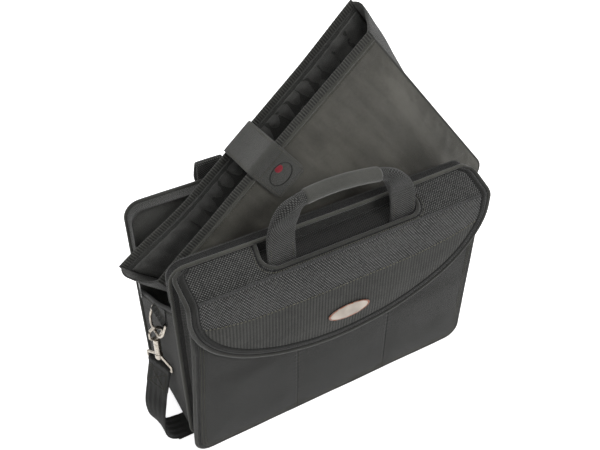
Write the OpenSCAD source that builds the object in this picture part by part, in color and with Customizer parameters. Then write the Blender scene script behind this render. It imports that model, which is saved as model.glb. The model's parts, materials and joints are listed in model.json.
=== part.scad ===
// Soft-sided laptop briefcase with a flap, two rolled handles, a shoulder strap
// and a padded laptop sleeve that is pulled part-way out of the main compartment.
// Millimetres. Origin: centre of the base, on the floor. +Z up, the flap faces -Y.

/* [Bag body] */
// Width of the middle and rear panels over their piping
bag_w = 420; // [400:2:450]
// Width of the front panel over its piping
front_w = 408; // [392:2:412]
// Height of the middle panel
bag_h = 288; // [280:1:320]
// How much lower the front panel is than the middle panel
front_drop = 26; // [22:1:32]
// Height of the rear panel
rear_h = 284; // [276:1:310]
// Depth of the bag at the floor, front panel to rear panel
base_depth = 156; // [148:1:175]
// Depth of the front section at the floor
front_depth_bottom = 24; // [22:1:30]
// Depth of the front section at its top
front_depth_top = 36; // [32:1:44]
// How far the rear panel leans out over its height
rear_lean = 16; // [4:1:24]
// Thickness of the padded panels
panel_t = 4; // [3:0.5:4.5]
// Thickness of the gusset fabric
gusset_t = 2.4; // [1.5:0.1:3]
// Radius of the panels' corners
panel_r = 22; // [16:1:30]
// Diameter of the piping on the panel edges
piping_d = 5; // [4.4:0.1:6]
// Height of the left side mouth at the middle seam
mouth_front_h = 222; // [215:1:228]
// Height of both side mouths at the rear seam
mouth_rear_h = 145; // [130:1:150]
// How far the sleeve's corner presses the right side mouth down
mouth_drop = 36; // [34:1:42]
// Height of the binding on the mouth edges
mouth_binding_h = 4; // [3:0.5:6]
// Thickness of the stiff board on the bottom
board_t = 3; // [2:0.5:4]

/* [Front pocket] */
// How far the patch pocket's hem is below the front panel's top
hem_drop = 40; // [37:1:60]
// Thickness of the pocket fabric
pocket_t = 2.2; // [1.5:0.1:2.6]
// Distance of the two sewn pocket divisions from the middle
pocket_seam_x = 68; // [50:1:90]
// How far the pocket's zip is below the front panel's top
pocket_zip_drop = 24; // [20:1:26]
// Length of the pocket's zip
pocket_zip_l = 330; // [200:5:350]
// Thickness of the organiser panel in the front section
organiser_t = 6; // [4:0.5:10]

/* [Flap] */
// Width of the flap
flap_w = 408; // [392:2:412]
// Length of the flap below its fold
flap_drop = 148; // [130:1:160]
// Depth of the flap's curved lower end
flap_curve = 126; // [100:1:128]
// Thickness of the flap's outer fabric
flap_t = 2.2; // [1.5:0.1:3]
// Thickness of the flap's lining
lining_t = 0.8; // [0.5:0.1:1]
// Width of the binding round the flap
flap_binding_w = 9; // [6:0.5:12]
// Half width of the handle slot in the top of the flap
slot_half = 108; // [104:1:120]
// Diameter of the bead round the slot
slot_bead_d = 4; // [3:0.5:4.5]
// Length of the oval plate on the flap
badge_l = 60; // [40:1:80]
// Height of the oval plate on the flap
badge_h = 22; // [14:1:30]
// How far the oval plate's middle is below the flap's fold
badge_drop = 103; // [70:1:110]

/* [Handles] */
// Width of the front handle over its legs
front_span = 202; // [190:1:204]
// Width of the rear handle over its legs
rear_span = 218; // [190:1:240]
// Height of the grip above the hinge line
handle_h = 68; // [55:1:80]
// Width of a handle leg's webbing
leg_w = 36; // [30:1:40]
// Thickness of a handle leg
leg_t = 4; // [3:0.5:5]
// Diameter of the rolled core inside the grip
core_d = 15; // [12:0.5:18]
// Wall of the wrap on the grip
wrap_t = 1.7; // [1:0.1:3]
// Length of the wrap on the grip
wrap_l = 100; // [80:1:110]
// How much higher the grip is in its middle
grip_arch = 5; // [3:0.5:8]
// Lean of the front handle, backwards
front_lean = 8; // [0:1:15]
// Angle that the rear handle has flopped over, from upright
rear_flop = 160; // [150:1:165]

/* [Sleeve] */
// Length of the sleeve's open edge
sleeve_l = 368; // [350:1:372]
// Height of the sleeve
sleeve_h = 304; // [290:1:310]
// Thickness of the sleeve
sleeve_t = 60; // [50:1:66]
// Tilt of the sleeve in its own plane
sleeve_tilt = 38.6; // [37:0.2:39]
// Lean of the sleeve, backwards
sleeve_lean = 6.2; // [5:0.2:8]
// Place of the sleeve's lower front corner, left of the middle
sleeve_x = 21.3; // [18:0.1:26]
// Place of the sleeve's lower front corner, in front of the middle
sleeve_y = 34.7; // [28:0.1:38]
// Thickness of the sleeve's outer fabric
shell_t = 2.5; // [1.5:0.1:4]
// Thickness of the air-cell padding
pad_t = 6; // [3:0.5:9]
// Radius of the sleeve's lower corners
sleeve_r = 18; // [12:1:26]
// Height of the ribbed binding along the open edges
rib_h = 10; // [6:1:14]
// Width of the closing tab
tab_w = 42; // [30:1:50]
// Length of the closing tab down the front
tab_l = 54; // [40:1:70]
// Thickness of the closing tab
tab_t = 2.2; // [1.5:0.1:3]

/* [Strap hardware] */
// Width of the shoulder strap
strap_w = 38; // [30:1:40]
// Thickness of the shoulder strap
strap_t = 1.8; // [1.2:0.1:2]
// Wire diameter of the D-rings
ring_wire = 3.5; // [3:0.1:4]
// Depth of a D-ring's bow
ring_bow = 22; // [20:0.5:24]
// Height of the left D-ring's bar
ring_z = 182; // [178:1:186]
// How much lower the right D-ring sits
ring_drop = 24; // [22:1:26]
// Outward hang of the D-rings
ring_hang = 20; // [12:1:24]
// Inner radius of a snap hook's eye
eye_r = 7; // [6.5:0.1:8]
// Wire diameter of a snap hook's eye
hook_wire = 4.2; // [3.6:0.1:4.6]
// Diameter of a snap hook's barrel
barrel_d = 9; // [8:0.5:11]
// Length of a snap hook's barrel
barrel_l = 26; // [22:1:30]
// Wire diameter of the strap loops
loop_wire = 3.6; // [3:0.1:4]
// Turn of the strap loops, away from the bag's side
loop_yaw = 20; // [10:1:28]

/* [Zips] */
// Width of the zip band along the rear panel
zip_band_w = 16; // [12:1:20]
// Thickness of the zip tape
zip_tape_t = 1.6; // [1:0.1:2.2]
// Width and height of the zip's teeth
zip_teeth = 3; // [2.4:0.1:3.4]
// Length of a zip slider
slider_l = 11; // [8:0.5:14]
// Length of a zip puller
puller_l = 24; // [16:1:30]

/* [Hidden] */
$fn = 48;

// Clearances
sew_gap = 0.2;     // between pieces sewn to each other
soft_gap = 0.4;    // between soft pieces on different bodies
turn_gap = 0.3;    // round a hinge line
slide_gap = 0.5;   // round a slider

// Places worked out from the driving sizes
piping_r = piping_d / 2;
inset = piping_r + 0.7;                    // gusset below the piping's crest
front_y = -base_depth / 2;
middle_y = front_y + front_depth_bottom;
rear_y = base_depth / 2;
middle_tilt = atan((front_depth_top - front_depth_bottom) / bag_h);
rear_tilt = atan(rear_lean / rear_h);
seam = piping_r + sew_gap;                 // from a panel's plane to its gusset
function middle_at(z) = middle_y + (z - piping_r) * tan(middle_tilt);
function rear_at(z) = rear_y + (z - piping_r) * tan(rear_tilt);
middle_seam = seam / cos(middle_tilt);
rear_seam = seam / cos(rear_tilt);
middle_face = (panel_t / 2 + sew_gap) / cos(middle_tilt);
far = 600;                                 // longer than anything it cuts
base_top = inset + gusset_t;
board_top = base_top + sew_gap + board_t;
floor_low = -1;
sag_front = -8;                            // where the sagging bottom starts

// Front section and flap
front_h = bag_h - front_drop;
pocket_h = front_h - hem_drop;
pocket_zip_z = front_h - pocket_zip_drop;
top_fall = 12;                             // front section's top falls this much to the front
top_inset = 3;                             // and meets the front panel this far below its top
fold_rise = 6;                             // the flap folds this far above the front panel
front_back = front_y + panel_t / 2;
fold_z = front_h + fold_rise;
badge_z = fold_z - badge_drop;
pocket_space = 5.3;                        // from the patch pocket to the flap's middle
flap_y = front_y - panel_t / 2 - pocket_t - pocket_space;
strip_t = 3;
strip_end_z = bag_h - piping_d;
strip_end_y = middle_at(strip_end_z) - middle_seam - turn_gap;
strip_run = strip_end_y - flap_y;
strip_rise = strip_end_z - fold_z;
strip_angle = atan(strip_rise / strip_run);
strip_len = sqrt(strip_run * strip_run + strip_rise * strip_rise);
strip_front = strip_t / 2 + turn_gap;
bead_s = 7.5;                              // slot bead, back from the fold
slot_r = 18;
flap_total = flap_t + lining_t;
flap_out = flap_y - flap_total / 2;
flap_in = flap_y + flap_total / 2;
flap_low = fold_z - flap_drop;
flap_bound_t = flap_total + 1;
pocket_face = front_y - panel_t / 2 - sew_gap - pocket_t;
patch_w = 50;
patch_h = 20;
patch_x = 95;
patch_drop = 96;
patch_z = fold_z - patch_drop;
patch_t = (pocket_face - flap_in - soft_gap) / 2;

// Handles
front_hinge_in = 7;
front_hinge_rise = 4;
front_hinge_y = front_y + front_hinge_in;
front_hinge_z = fold_z + front_hinge_rise;
top_front_z = front_h - top_inset;
top_t = 2;
function top_at(y) = top_front_z + (y - front_back) * top_fall / (front_depth_top - panel_t);
rear_rise = 19;
rear_hinge_up = rear_h + rear_rise;
rear_hinge_out = piping_r + sew_gap + leg_t + soft_gap + leg_t / 2;
rear_anchor_low = 58;
leg_straight = 20;
grip_r = core_d / 2 + wrap_t;
core_half = wrap_l / 2 + 8;
arch_r = (core_half * core_half + grip_arch * grip_arch) / (2 * grip_arch);

// Sleeve: u along its open edge, v through it from front to back, w along its height
corner_lift = sleeve_r * (cos(sleeve_tilt) + sin(sleeve_tilt) - 1);
sleeve_z = board_top + turn_gap - corner_lift * cos(sleeve_lean) + sleeve_t * sin(sleeve_lean);
binding_out = 0.8;
tab_v = -(binding_out + 1.6) - tab_t / 2;
tab_up = sleeve_h + tab_t / 2 + 0.5;
tab_hinge_v = sleeve_t + binding_out + tab_t / 2;
velcro_t = -tab_v - tab_t / 2 - sew_gap;   // from the sleeve's face to the tab
velcro_gap = turn_gap;

// Left side hardware; the right side is its mirror image, lower by ring_drop
side_face = bag_w / 2 - inset;
tab_plate_t = 2.3;
ring_x = -(side_face + sew_gap + tab_plate_t + ring_wire / 2 + 1.6);
ring_y = -2;
ring_half = 23;
ring_arc = 12;
bow_x = ring_x - ring_bow * sin(ring_hang);
bow_dz = -ring_bow * cos(ring_hang);
eye_mid_r = eye_r + hook_wire / 2;
eye_dz = bow_dz + ring_wire / 2 + turn_gap - eye_r;
barrel_top = -eye_mid_r - 0.5;
barrel_low = barrel_top - barrel_l;
post_d = 5;
collar_h = 6;
collar_gap = 0.3;
loop_dz = eye_dz + barrel_low - collar_gap - collar_h / 2;
loop_half = strap_w / 2 + 2.5;
loop_fall = 16;                            // from the collar down to the loop's bar
strap_fall = 15.5;                         // strap's slope below the loop
end_l = 38;

// Shoulder strap's route: points chosen by hand, with the direction of its width.
// Down from the left loop, under the bag, a fold, and back low over itself beside the right side.
left_route = [[-230, -6, 64], [-233, -7.5, 52], [-237, -12, 34], [-237, -20, 16],
    [-231, -27, 6.5], [-219, -30.5, 2.2], [-200, -31, 1.5]];
left_widths = [[34, -94, 0], [34, -94, 0], [33, -93, -8], [22, -93, -24],
    [5, -95, -28], [0, -100, -2], [0, -100, 0]];
right_route = [[200, -31, 1.5], [210, -31, 1.5], [229, -31, 2.7], [229, -12, 3.9], [229, 16, 1.6],
    [229, 60, 1.5], [229, 104, 1.6], [229.5, 132, 1.9], [230.5, 148, 3.6],
    [232.5, 157, 9], [235.5, 157, 15.5], [238.5, 148, 19], [241, 134, 18],
    [242.5, 116, 13], [243.3, 98, 8], [243.5, 78, 4.9], [243.3, 56, 4.4],
    [242, 36, 5.4], [239.5, 20, 8], [237, 7, 11.5], [235.5, -2, 16], [234, -6, 22],
    [232, -7, 30], [230, -6, 40]];
right_widths = concat([[0, -100, 0], [0, -100, 0], [-100, -100, 0]],
    [for (i = [1:16]) [-100, 0, 0]],
    [[-98, -14, 0], [-92, -40, 0], [-78, -62, 0], [-56, -82, 0], [-34, -94, 0]]);
fold_ring = len(left_route) + 2;           // the strap turns over here, across its width
fold_out = [1, -1, 0] / sqrt(2);

// Zips
zip_low = mouth_rear_h + 22;
slider_wall = 1.2;
puller_t = 1.4;
puller_w = 6;

// ---- shared shapes -------------------------------------------------------

// Children drawn in a panel's own upright plane, leant back about its lower piping
module on_plane(y, tilt)
    translate([0, y, piping_r]) rotate([-tilt, 0, 0]) translate([0, 0, -piping_r]) children();

module rounded_rect(w, h, r, low = 0) {
    translate([-w / 2 + r, low]) square([w - 2 * r, h]);
    translate([-w / 2, low + r]) square([w, h - 2 * r]);
    for (x = [-w / 2 + r, w / 2 - r], z = [low + r, low + h - r]) translate([x, z]) circle(r);
}

// A panel's outline, drawn back from its outer edge by d
module outline(w, h, d) rounded_rect(w - 2 * d, h - 2 * d, panel_r - d, d);

// A flat shape stood upright: 2D x and y become X and Z, centred on Y
module upright(t) rotate([90, 0, 0]) linear_extrude(t, center = true) children();

// A profile given as [y, z] points, run along X
module side_profile(points, w = far) rotate([90, 0, 90]) linear_extrude(w, center = true) polygon(points);

module panel_plate(w, h) upright(panel_t) outline(w, h, piping_d + sew_gap);

module band(w, h, d, t, length)
    upright(length) difference() { outline(w, h, d); outline(w, h, d + t); }

// Piping round a panel's outline: four straight runs and four corner arcs
module piping_ring(w, h) {
    r = panel_r - piping_r;
    for (s = [-1, 1]) {
        translate([s * (w / 2 - piping_r), 0, panel_r]) cylinder(h = h - 2 * panel_r, r = piping_r);
        for (z = [piping_r, h - piping_r])
            translate([-w / 2 + panel_r, 0, z]) rotate([0, 90, 0]) cylinder(h = w - 2 * panel_r, r = piping_r);
    }
    corner_arc(w / 2 - panel_r, h - panel_r, r, 0);
    corner_arc(-w / 2 + panel_r, h - panel_r, r, 90);
    corner_arc(-w / 2 + panel_r, panel_r, r, 180);
    corner_arc(w / 2 - panel_r, panel_r, r, 270);
}
module corner_arc(x, z, r, start)
    translate([x, 0, z]) rotate([90, 0, 0]) rotate([0, 0, start])
        rotate_extrude(angle = 90) translate([r, 0]) circle(piping_r);

module rod_y(d, length) rotate([90, 0, 0]) cylinder(h = length, d = d, center = true);

// ---- bag body ------------------------------------------------------------

pocket_inset = 3;
seam_w = 1.2;

module front_panel() color("#3b3b3a") translate([0, front_y, 0]) panel_plate(front_w, front_h);

module front_pocket() color("#414140") difference() {
    translate([0, pocket_face + pocket_t / 2, 0]) upright(pocket_t)
        rounded_rect(front_w - 2 * piping_d - 2 * pocket_inset, pocket_h - piping_d - pocket_inset,
                panel_r - piping_d, piping_d + pocket_inset);
    for (s = [-1, 1]) translate([s * pocket_seam_x - seam_w / 2, pocket_face - pocket_t, 0])
        cube([seam_w, 1.3 * pocket_t, far]);
}

module front_piping() color("#2e2e2d") translate([0, front_y, 0]) piping_ring(front_w, front_h);

// Side and bottom gusset of the front section, open on top
module front_gusset() color("#262626") intersection() {
    translate([0, middle_y, 0]) band(front_w, front_h + 40, inset, gusset_t, far);
    side_profile([[front_y + seam, floor_low], [middle_at(floor_low) - middle_seam, floor_low],
        [middle_at(top_front_z) - middle_seam, top_at(top_back) - 1.5 * top_t],
        [front_y + seam, top_at(front_y + seam) - 1.5 * top_t]]);
}

// Woven top of the front section, seen through the flap's slot
top_back = middle_at(top_front_z) - middle_face;
module front_top() color("#353535") side_profile([
    [front_y + seam, top_at(front_y + seam) - top_t], [front_y + seam, top_at(front_y + seam)],
    [top_back, top_at(top_back)], [top_back, top_at(top_back) - top_t]], front_w - 2 * inset - 2 * gusset_t - 1);

module middle_panel() color("#30302f") on_plane(middle_y, middle_tilt) panel_plate(bag_w, bag_h);
module middle_piping() color("#4a4a48") on_plane(middle_y, middle_tilt) piping_ring(bag_w, bag_h);
module rear_panel() color("#343433") on_plane(rear_y, rear_tilt) panel_plate(bag_w, rear_h);
module rear_piping() color("#3a3a39") on_plane(rear_y, rear_tilt) piping_ring(bag_w, rear_h);

// The band that joins the middle and rear panels, up to a sloping mouth on each side
module main_band(front_top_z, rear_top_z, low = floor_low, d = inset, t = gusset_t) intersection() {
    translate([0, (middle_y + rear_y) / 2, 0]) band(bag_w, bag_h + 60, d, t, far);
    side_profile([[middle_at(low) + middle_seam, low], [rear_at(low) - rear_seam, low],
        [rear_at(rear_top_z) - rear_seam, rear_top_z],
        [middle_at(front_top_z) + middle_seam, front_top_z]]);
}
flat_half = bag_w / 2 - panel_r;
module side_half(s) translate([s > 0 ? flat_half : -far - flat_half, -far / 2, floor_low]) cube([far, far, far]);

// The bottom, sagging to the floor behind the strap that runs under it
module base_panel() color("#2b2b2b") {
    intersection() {
        main_band(panel_r, panel_r);
        translate([-flat_half, -far / 2, floor_low]) cube([2 * flat_half, far, far]);
    }
    translate([-flat_half, sag_front, 0]) cube([2 * flat_half, rear_y - piping_d - sag_front, inset + 0.5]);
}
module main_gusset_left() color("#363635") intersection() {
    main_band(mouth_front_h, mouth_rear_h);
    side_half(-1);
}
module main_gusset_right() color("#363635") intersection() {
    main_band(mouth_front_h - mouth_drop, mouth_rear_h);
    side_half(1);
}

// Binding along the sloping mouth edges
module mouth_bindings() color("#4c4c4a") for (s = [-1, 1]) {
    top = mouth_front_h - (s > 0 ? mouth_drop : 0);
    intersection() {
        difference() {
            main_band(top + mouth_binding_h, mouth_rear_h + mouth_binding_h, floor_low, inset - 0.8, gusset_t + 1.6);
            side_profile([[middle_at(0) - 20, floor_low - 1], [rear_at(0) + 20, floor_low - 1],
                [rear_at(mouth_rear_h) - rear_seam, mouth_rear_h + sew_gap],
                [middle_at(top) + middle_seam, top + sew_gap], [middle_at(top) - 20, top + sew_gap]]);
            side_profile([[rear_at(mouth_rear_h) - rear_seam - 0.01, floor_low - 1], [rear_at(0) + 20, floor_low - 1],
                [rear_at(0) + 20, mouth_rear_h + sew_gap],
                [rear_at(mouth_rear_h) - rear_seam - 0.01, mouth_rear_h + sew_gap]]);
        }
        side_half(s);
    }
}

board_gap = 1;                             // all round the board
board_front = middle_at(base_top) + middle_seam + board_gap;
board_back = rear_at(base_top) - rear_seam - board_gap;
module base_board() color("#1f1f1f") side_profile([
    [board_front, base_top + sew_gap], [board_back, base_top + sew_gap],
    [board_back, board_top], [board_front, board_top]], bag_w - 2 * panel_r - 2 * board_gap);

// Zip tape and teeth as an arch over a panel: width in y from near to far of the panel's plane
module zip_arch(h, near_y, width, z_low, side) {
    tape = width - zip_teeth;
    intersection() {
        union() {
            translate([0, near_y + side * tape / 2, 0]) band(bag_w, h, inset, zip_tape_t, tape);
            translate([0, near_y + side * (tape + zip_teeth / 2), 0])
                band(bag_w, h, inset - (zip_teeth - zip_tape_t) / 2, zip_teeth, zip_teeth);
        }
        translate([-far / 2, -far / 2, z_low]) cube([far, far, far]);
    }
}
module rear_zip() color("#2a2a2a") on_plane(rear_y, rear_tilt) zip_arch(rear_h, -seam, zip_band_w, zip_low, -1);
module middle_zip() color("#2a2a2a") on_plane(middle_y, middle_tilt)
    zip_arch(bag_h, seam, zip_band_w - 3, mouth_front_h + mouth_binding_h + 3, 1);

// Padded organiser panel, inside the front section
organiser_side = 20;                       // from the panel's edge to the front section's side
organiser_low = 30;                        // and how much lower than the pocket its top is
module organiser_panel() color("#2f2f2f")
    translate([-front_w / 2 + organiser_side, front_back + 1, base_top + sew_gap])
        cube([front_w - 2 * organiser_side, organiser_t, pocket_h - organiser_low]);

// ---- front pocket --------------------------------------------------------

module pocket_loop_patches() color("#1c1c1c") for (s = [-1, 1])
    translate([s * patch_x - patch_w / 2, pocket_face - patch_t, patch_z - patch_h / 2])
        cube([patch_w, patch_t, patch_h]);

pocket_tape_h = 20;
pocket_tape_t = 0.8;
pocket_teeth_h = 2.4;
pocket_teeth_t = 1.8;
pocket_zip_face = front_y - panel_t / 2 - sew_gap;
pocket_zip_out = pocket_zip_face - pocket_tape_t - pocket_teeth_t;
module pocket_zip() color("#262626") {
    translate([-pocket_zip_l / 2 - slider_l / 2, pocket_zip_face - pocket_tape_t, pocket_zip_z - pocket_tape_h / 2])
        cube([pocket_zip_l + slider_l, pocket_tape_t, pocket_tape_h]);
    translate([-pocket_zip_l / 2, pocket_zip_out, pocket_zip_z - pocket_teeth_h / 2])
        cube([pocket_zip_l, pocket_teeth_t, pocket_teeth_h]);
    for (s = [-1, 1]) translate([s * (pocket_zip_l + pocket_teeth_h) / 2 - pocket_teeth_h / 2, pocket_zip_out,
        pocket_zip_z - pocket_teeth_h]) cube([pocket_teeth_h, pocket_teeth_t, 2 * pocket_teeth_h]);
}
pocket_plate_t = 0.8;
pocket_slider_x = -pocket_zip_l / 2 + slider_l / 2 + 1;
pocket_plate_y = pocket_zip_out - slide_gap - pocket_plate_t;
pocket_cheek = 1.8;
pocket_cheek_z = pocket_teeth_h / 2 + slide_gap;
module pocket_zip_slider() color("#77777a") translate([pocket_slider_x - slider_l / 2, pocket_plate_y, pocket_zip_z]) {
    translate([0, 0, -pocket_cheek_z - pocket_cheek]) cube([slider_l, pocket_plate_t, 2 * (pocket_cheek_z + pocket_cheek)]);
    for (z = [-pocket_cheek_z - pocket_cheek, pocket_cheek_z]) translate([0, 0, z])
        cube([slider_l, pocket_plate_t + pocket_teeth_t, pocket_cheek]);
}
module pocket_zip_puller() color("#88888b") difference() {
    translate([pocket_slider_x - puller_w / 2, pocket_plate_y - sew_gap - pocket_plate_t, pocket_zip_z - puller_l])
        cube([puller_w, pocket_plate_t, puller_l]);
    translate([pocket_slider_x - puller_w / 4, pocket_plate_y - 2 * pocket_plate_t - 1, pocket_zip_z - 0.9 * puller_l])
        cube([puller_w / 2, 4 * pocket_plate_t, puller_l / 2]);
}

// ---- flap ----------------------------------------------------------------

// Flap outline: straight sides and a half-elliptic lower end, drawn back by d
function flap_points(d) = concat(
    [[flap_w / 2 - d, fold_z]],
    [for (a = [0:-6:-180]) [(flap_w / 2 - d) * cos(a), flap_low + flap_curve + (flap_curve - d) * sin(a)]],
    [[-flap_w / 2 + d, fold_z]]);
module flap_shape(d) polygon(flap_points(d));

module on_strip() translate([0, flap_y, fold_z]) rotate([strip_angle, 0, 0]) children();

module flap_top() color("#444443") on_strip() difference() {
    translate([-flap_w / 2, strip_front, -strip_t / 2]) cube([flap_w, strip_len - strip_front, strip_t]);
    slot_cut(slot_bead_d / 2 + sew_gap);
}
// The slot, widened by d all round, open towards the middle seam
module slot_cut(d) translate([0, 0, -strip_t]) linear_extrude(2 * strip_t) {
    translate([-slot_half - d + slot_r, bead_s - d]) square([2 * (slot_half + d - slot_r), far]);
    translate([-slot_half - d, bead_s - d + slot_r]) square([2 * (slot_half + d), far]);
    for (s = [-1, 1]) translate([s * (slot_half + d - slot_r), bead_s - d + slot_r]) circle(slot_r);
}
// Bead round the slot
module slot_binding() color("#3a3a39") on_strip() {
    side_l = strip_len - bead_s - slot_r - slot_bead_d;
    translate([0, bead_s, 0]) rotate([0, 90, 0])
        cylinder(h = 2 * (slot_half - slot_r), d = slot_bead_d, center = true);
    for (s = [-1, 1]) {
        translate([s * slot_half, bead_s + slot_r, 0]) rotate([-90, 0, 0]) cylinder(h = side_l, d = slot_bead_d);
        translate([s * (slot_half - slot_r), bead_s + slot_r, 0]) rotate([0, 0, s > 0 ? -90 : 180])
            rotate_extrude(angle = 90) translate([slot_r, 0]) circle(d = slot_bead_d);
    }
}

module flap_panel() color("#4b4b49") {
    translate([0, flap_out + flap_t / 2, 0]) upright(flap_t) flap_field(0);
    translate([0, flap_y, fold_z]) rotate([0, 90, 0])
        cylinder(h = flap_w - 2 * flap_binding_w - 2 * sew_gap, d = strip_t, center = true);
}
module flap_field(up) difference() {
    flap_shape(flap_binding_w + sew_gap);
    translate([-far / 2, fold_z - up]) square([far, far]);
}
module flap_lining() color("#2c2c2b") translate([0, flap_in - lining_t / 2, 0])
    upright(lining_t) flap_field(strip_t);
module flap_binding() color("#3a3a39") translate([0, flap_y, 0])
    upright(flap_bound_t) difference() {
        flap_shape(0);
        flap_shape(flap_binding_w);
        translate([-far / 2, fold_z - strip_t]) square([far, far]);
    }
module badge_plate() color("#d8d5c8") translate([0, flap_out - 0.9, badge_z]) upright(1.8)
    polygon([for (a = [0:10:350]) [badge_l / 2 * cos(a), badge_h / 2 * sin(a)]]);
module flap_hook_patches() color("#1c1c1c") for (s = [-1, 1])
    translate([s * patch_x - patch_w / 2, flap_in, patch_z - patch_h / 2]) cube([patch_w, patch_t, patch_h]);

// ---- handles -------------------------------------------------------------

// One leg in the handle's plane: straight, then curving in to the grip
function leg_points(span) = concat(
    [for (a = [0:15:90]) [span / 2 - (1 - cos(a)) * (span / 2 - wrap_l / 2),
        leg_straight + sin(a) * (handle_h + core_d / 2 - leg_straight)]],
    [for (a = [90:-15:0]) [span / 2 - leg_w - (1 - cos(a)) * (span / 2 - leg_w - wrap_l / 2),
        leg_straight + sin(a) * (handle_h - core_d / 2 - leg_straight)]],
    [[span / 2 - leg_w, 0], [span / 2, 0]]);

// The grip's arc, from -half to +half
module grip_arc(half, d) {
    turn = asin(half / arch_r);
    translate([0, 0, handle_h + grip_arch - arch_r]) rotate([90, 0, 0]) rotate([0, 0, 90 - turn])
        rotate_extrude(angle = 2 * turn, $fn = 64) translate([arch_r, 0]) circle(d = d);
}
module handle_web(span) {
    for (s = [0, 1]) mirror([s, 0, 0]) {
        upright(leg_t) polygon(leg_points(span));
        translate([span / 2 - leg_w, 0, 0]) rotate([0, 90, 0]) cylinder(h = leg_w, d = leg_t);
    }
    grip_arc(core_half, core_d);
}
module handle_wrap() difference() {
    grip_arc(wrap_l / 2, 2 * grip_r);
    grip_arc(core_half, core_d + 2 * sew_gap);
}

module at_front_handle() translate([0, front_hinge_y, front_hinge_z]) rotate([-front_lean, 0, 0]) children();
module at_rear_handle() on_plane(rear_y, rear_tilt) translate([0, rear_hinge_out, rear_hinge_up])
    rotate([-rear_flop, 0, 0]) children();

module front_handle_web() color("#3e3e3d") at_front_handle() handle_web(front_span);
module front_handle_wrap() color("#585856") at_front_handle() handle_wrap();
module rear_handle_web() color("#3e3e3d") at_rear_handle() handle_web(rear_span);
module rear_handle_wrap() color("#585856") at_rear_handle() handle_wrap();

// Webbing sewn to the front section's top, under the front handle
module front_handle_anchors() color("#3a3a39") for (s = [-1, 1]) {
    low = top_at(front_hinge_y + leg_t / 2) + sew_gap;
    translate([s * (front_span - leg_w) / 2 - leg_w / 2, front_hinge_y - leg_t / 2, low])
        cube([leg_w, leg_t, front_hinge_z - leg_t / 2 - turn_gap - low]);
}
// Webbing sewn to the outside of the rear panel, up to the rear handle's bend
module rear_handle_anchors() color("#3a3a39") on_plane(rear_y, rear_tilt) for (s = [-1, 1])
    translate([s * (rear_span - leg_w) / 2 - leg_w / 2, piping_r + sew_gap, rear_h - rear_anchor_low])
        cube([leg_w, leg_t, rear_anchor_low + rear_hinge_up - rear_h]);

// ---- sleeve --------------------------------------------------------------

module on_sleeve() translate([-sleeve_x, -sleeve_y, sleeve_z])
    rotate([-sleeve_lean, 0, 0]) rotate([0, -sleeve_tilt, 0]) children();

// Sleeve outline with round lower corners, drawn back by d at the sides and bottom
module sleeve_outline(d, top) {
    r = sleeve_r - d;
    translate([d, sleeve_r]) square([sleeve_l - 2 * d, top - sleeve_r]);
    translate([sleeve_r, d]) square([sleeve_l - 2 * sleeve_r, top - d]);
    for (u = [sleeve_r, sleeve_l - sleeve_r]) translate([u, sleeve_r]) circle(r);
}
// A flat piece of the sleeve from v to v + t
module sleeve_sheet(v, t) translate([0, v + t, 0]) rotate([90, 0, 0]) linear_extrude(t) children();

shell_top = sleeve_h - rib_h - sew_gap;
module sleeve_front() color("#55544f") on_sleeve() sleeve_sheet(0, shell_t) sleeve_outline(0, shell_top);
module sleeve_back() color("#3d3d3b") on_sleeve() sleeve_sheet(sleeve_t - shell_t, shell_t)
    sleeve_outline(0, shell_top);
module sleeve_gusset() color("#3a3a38") on_sleeve()
    sleeve_sheet(shell_t + sew_gap, sleeve_t - 2 * shell_t - 2 * sew_gap) difference() {
        sleeve_outline(0, sleeve_h - 2);
        sleeve_outline(gusset_t, sleeve_h + 1);
    }
module sleeve_front_pad() color("#2e2e2d") on_sleeve()
    sleeve_sheet(shell_t + sew_gap, pad_t) sleeve_outline(gusset_t + sew_gap, shell_top - 2);
module sleeve_back_pad() color("#2e2e2d") on_sleeve()
    sleeve_sheet(sleeve_t - shell_t - sew_gap - pad_t, pad_t) sleeve_outline(gusset_t + sew_gap, shell_top - 2);
module sleeve_bindings() color("#4d4d4b") on_sleeve() for (v = [-binding_out, sleeve_t - shell_t + sew_gap])
    translate([0, v, sleeve_h - rib_h]) cube([sleeve_l, shell_t + binding_out - sew_gap, rib_h]);

tab_u = sleeve_l / 2 - tab_w / 2;
module sleeve_tab_anchor() color("#3c3c3a") on_sleeve()
    translate([tab_u, sleeve_t + binding_out + sew_gap, sleeve_h - rib_h - 30])
        cube([tab_w, tab_t - sew_gap, rib_h + 30 - turn_gap]);
module sleeve_loop_patch() color("#1c1c1c") on_sleeve()
    translate([tab_u + 4, -(velcro_t - velcro_gap) / 2, tab_up - tab_l + 3])
        cube([tab_w - 8, (velcro_t - velcro_gap) / 2, tab_l - rib_h - 8]);
module tab_hook_patch() color("#1c1c1c") on_sleeve()
    translate([tab_u + 4, -velcro_t, tab_up - tab_l + 3])
        cube([tab_w - 8, (velcro_t - velcro_gap) / 2, tab_l - rib_h - 8]);
module sleeve_tab() color("#494947") on_sleeve() {
    translate([tab_u, tab_v, tab_up - tab_t / 2]) cube([tab_w, tab_hinge_v - tab_v, tab_t]);
    translate([tab_u, tab_v - tab_t / 2, tab_up - tab_l]) cube([tab_w, tab_t, tab_l]);
    for (v = [tab_v, tab_hinge_v]) translate([tab_u, v, tab_up]) rotate([0, 90, 0]) cylinder(h = tab_w, d = tab_t);
}
module tab_badge() color("#b02a3a") on_sleeve()
    translate([sleeve_l / 2 + 3, tab_v - tab_t / 2, tab_up - tab_l / 2 + 3]) rotate([90, 0, 0]) cylinder(h = 0.9, d = 11);

// ---- strap hardware ------------------------------------------------------

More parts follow.
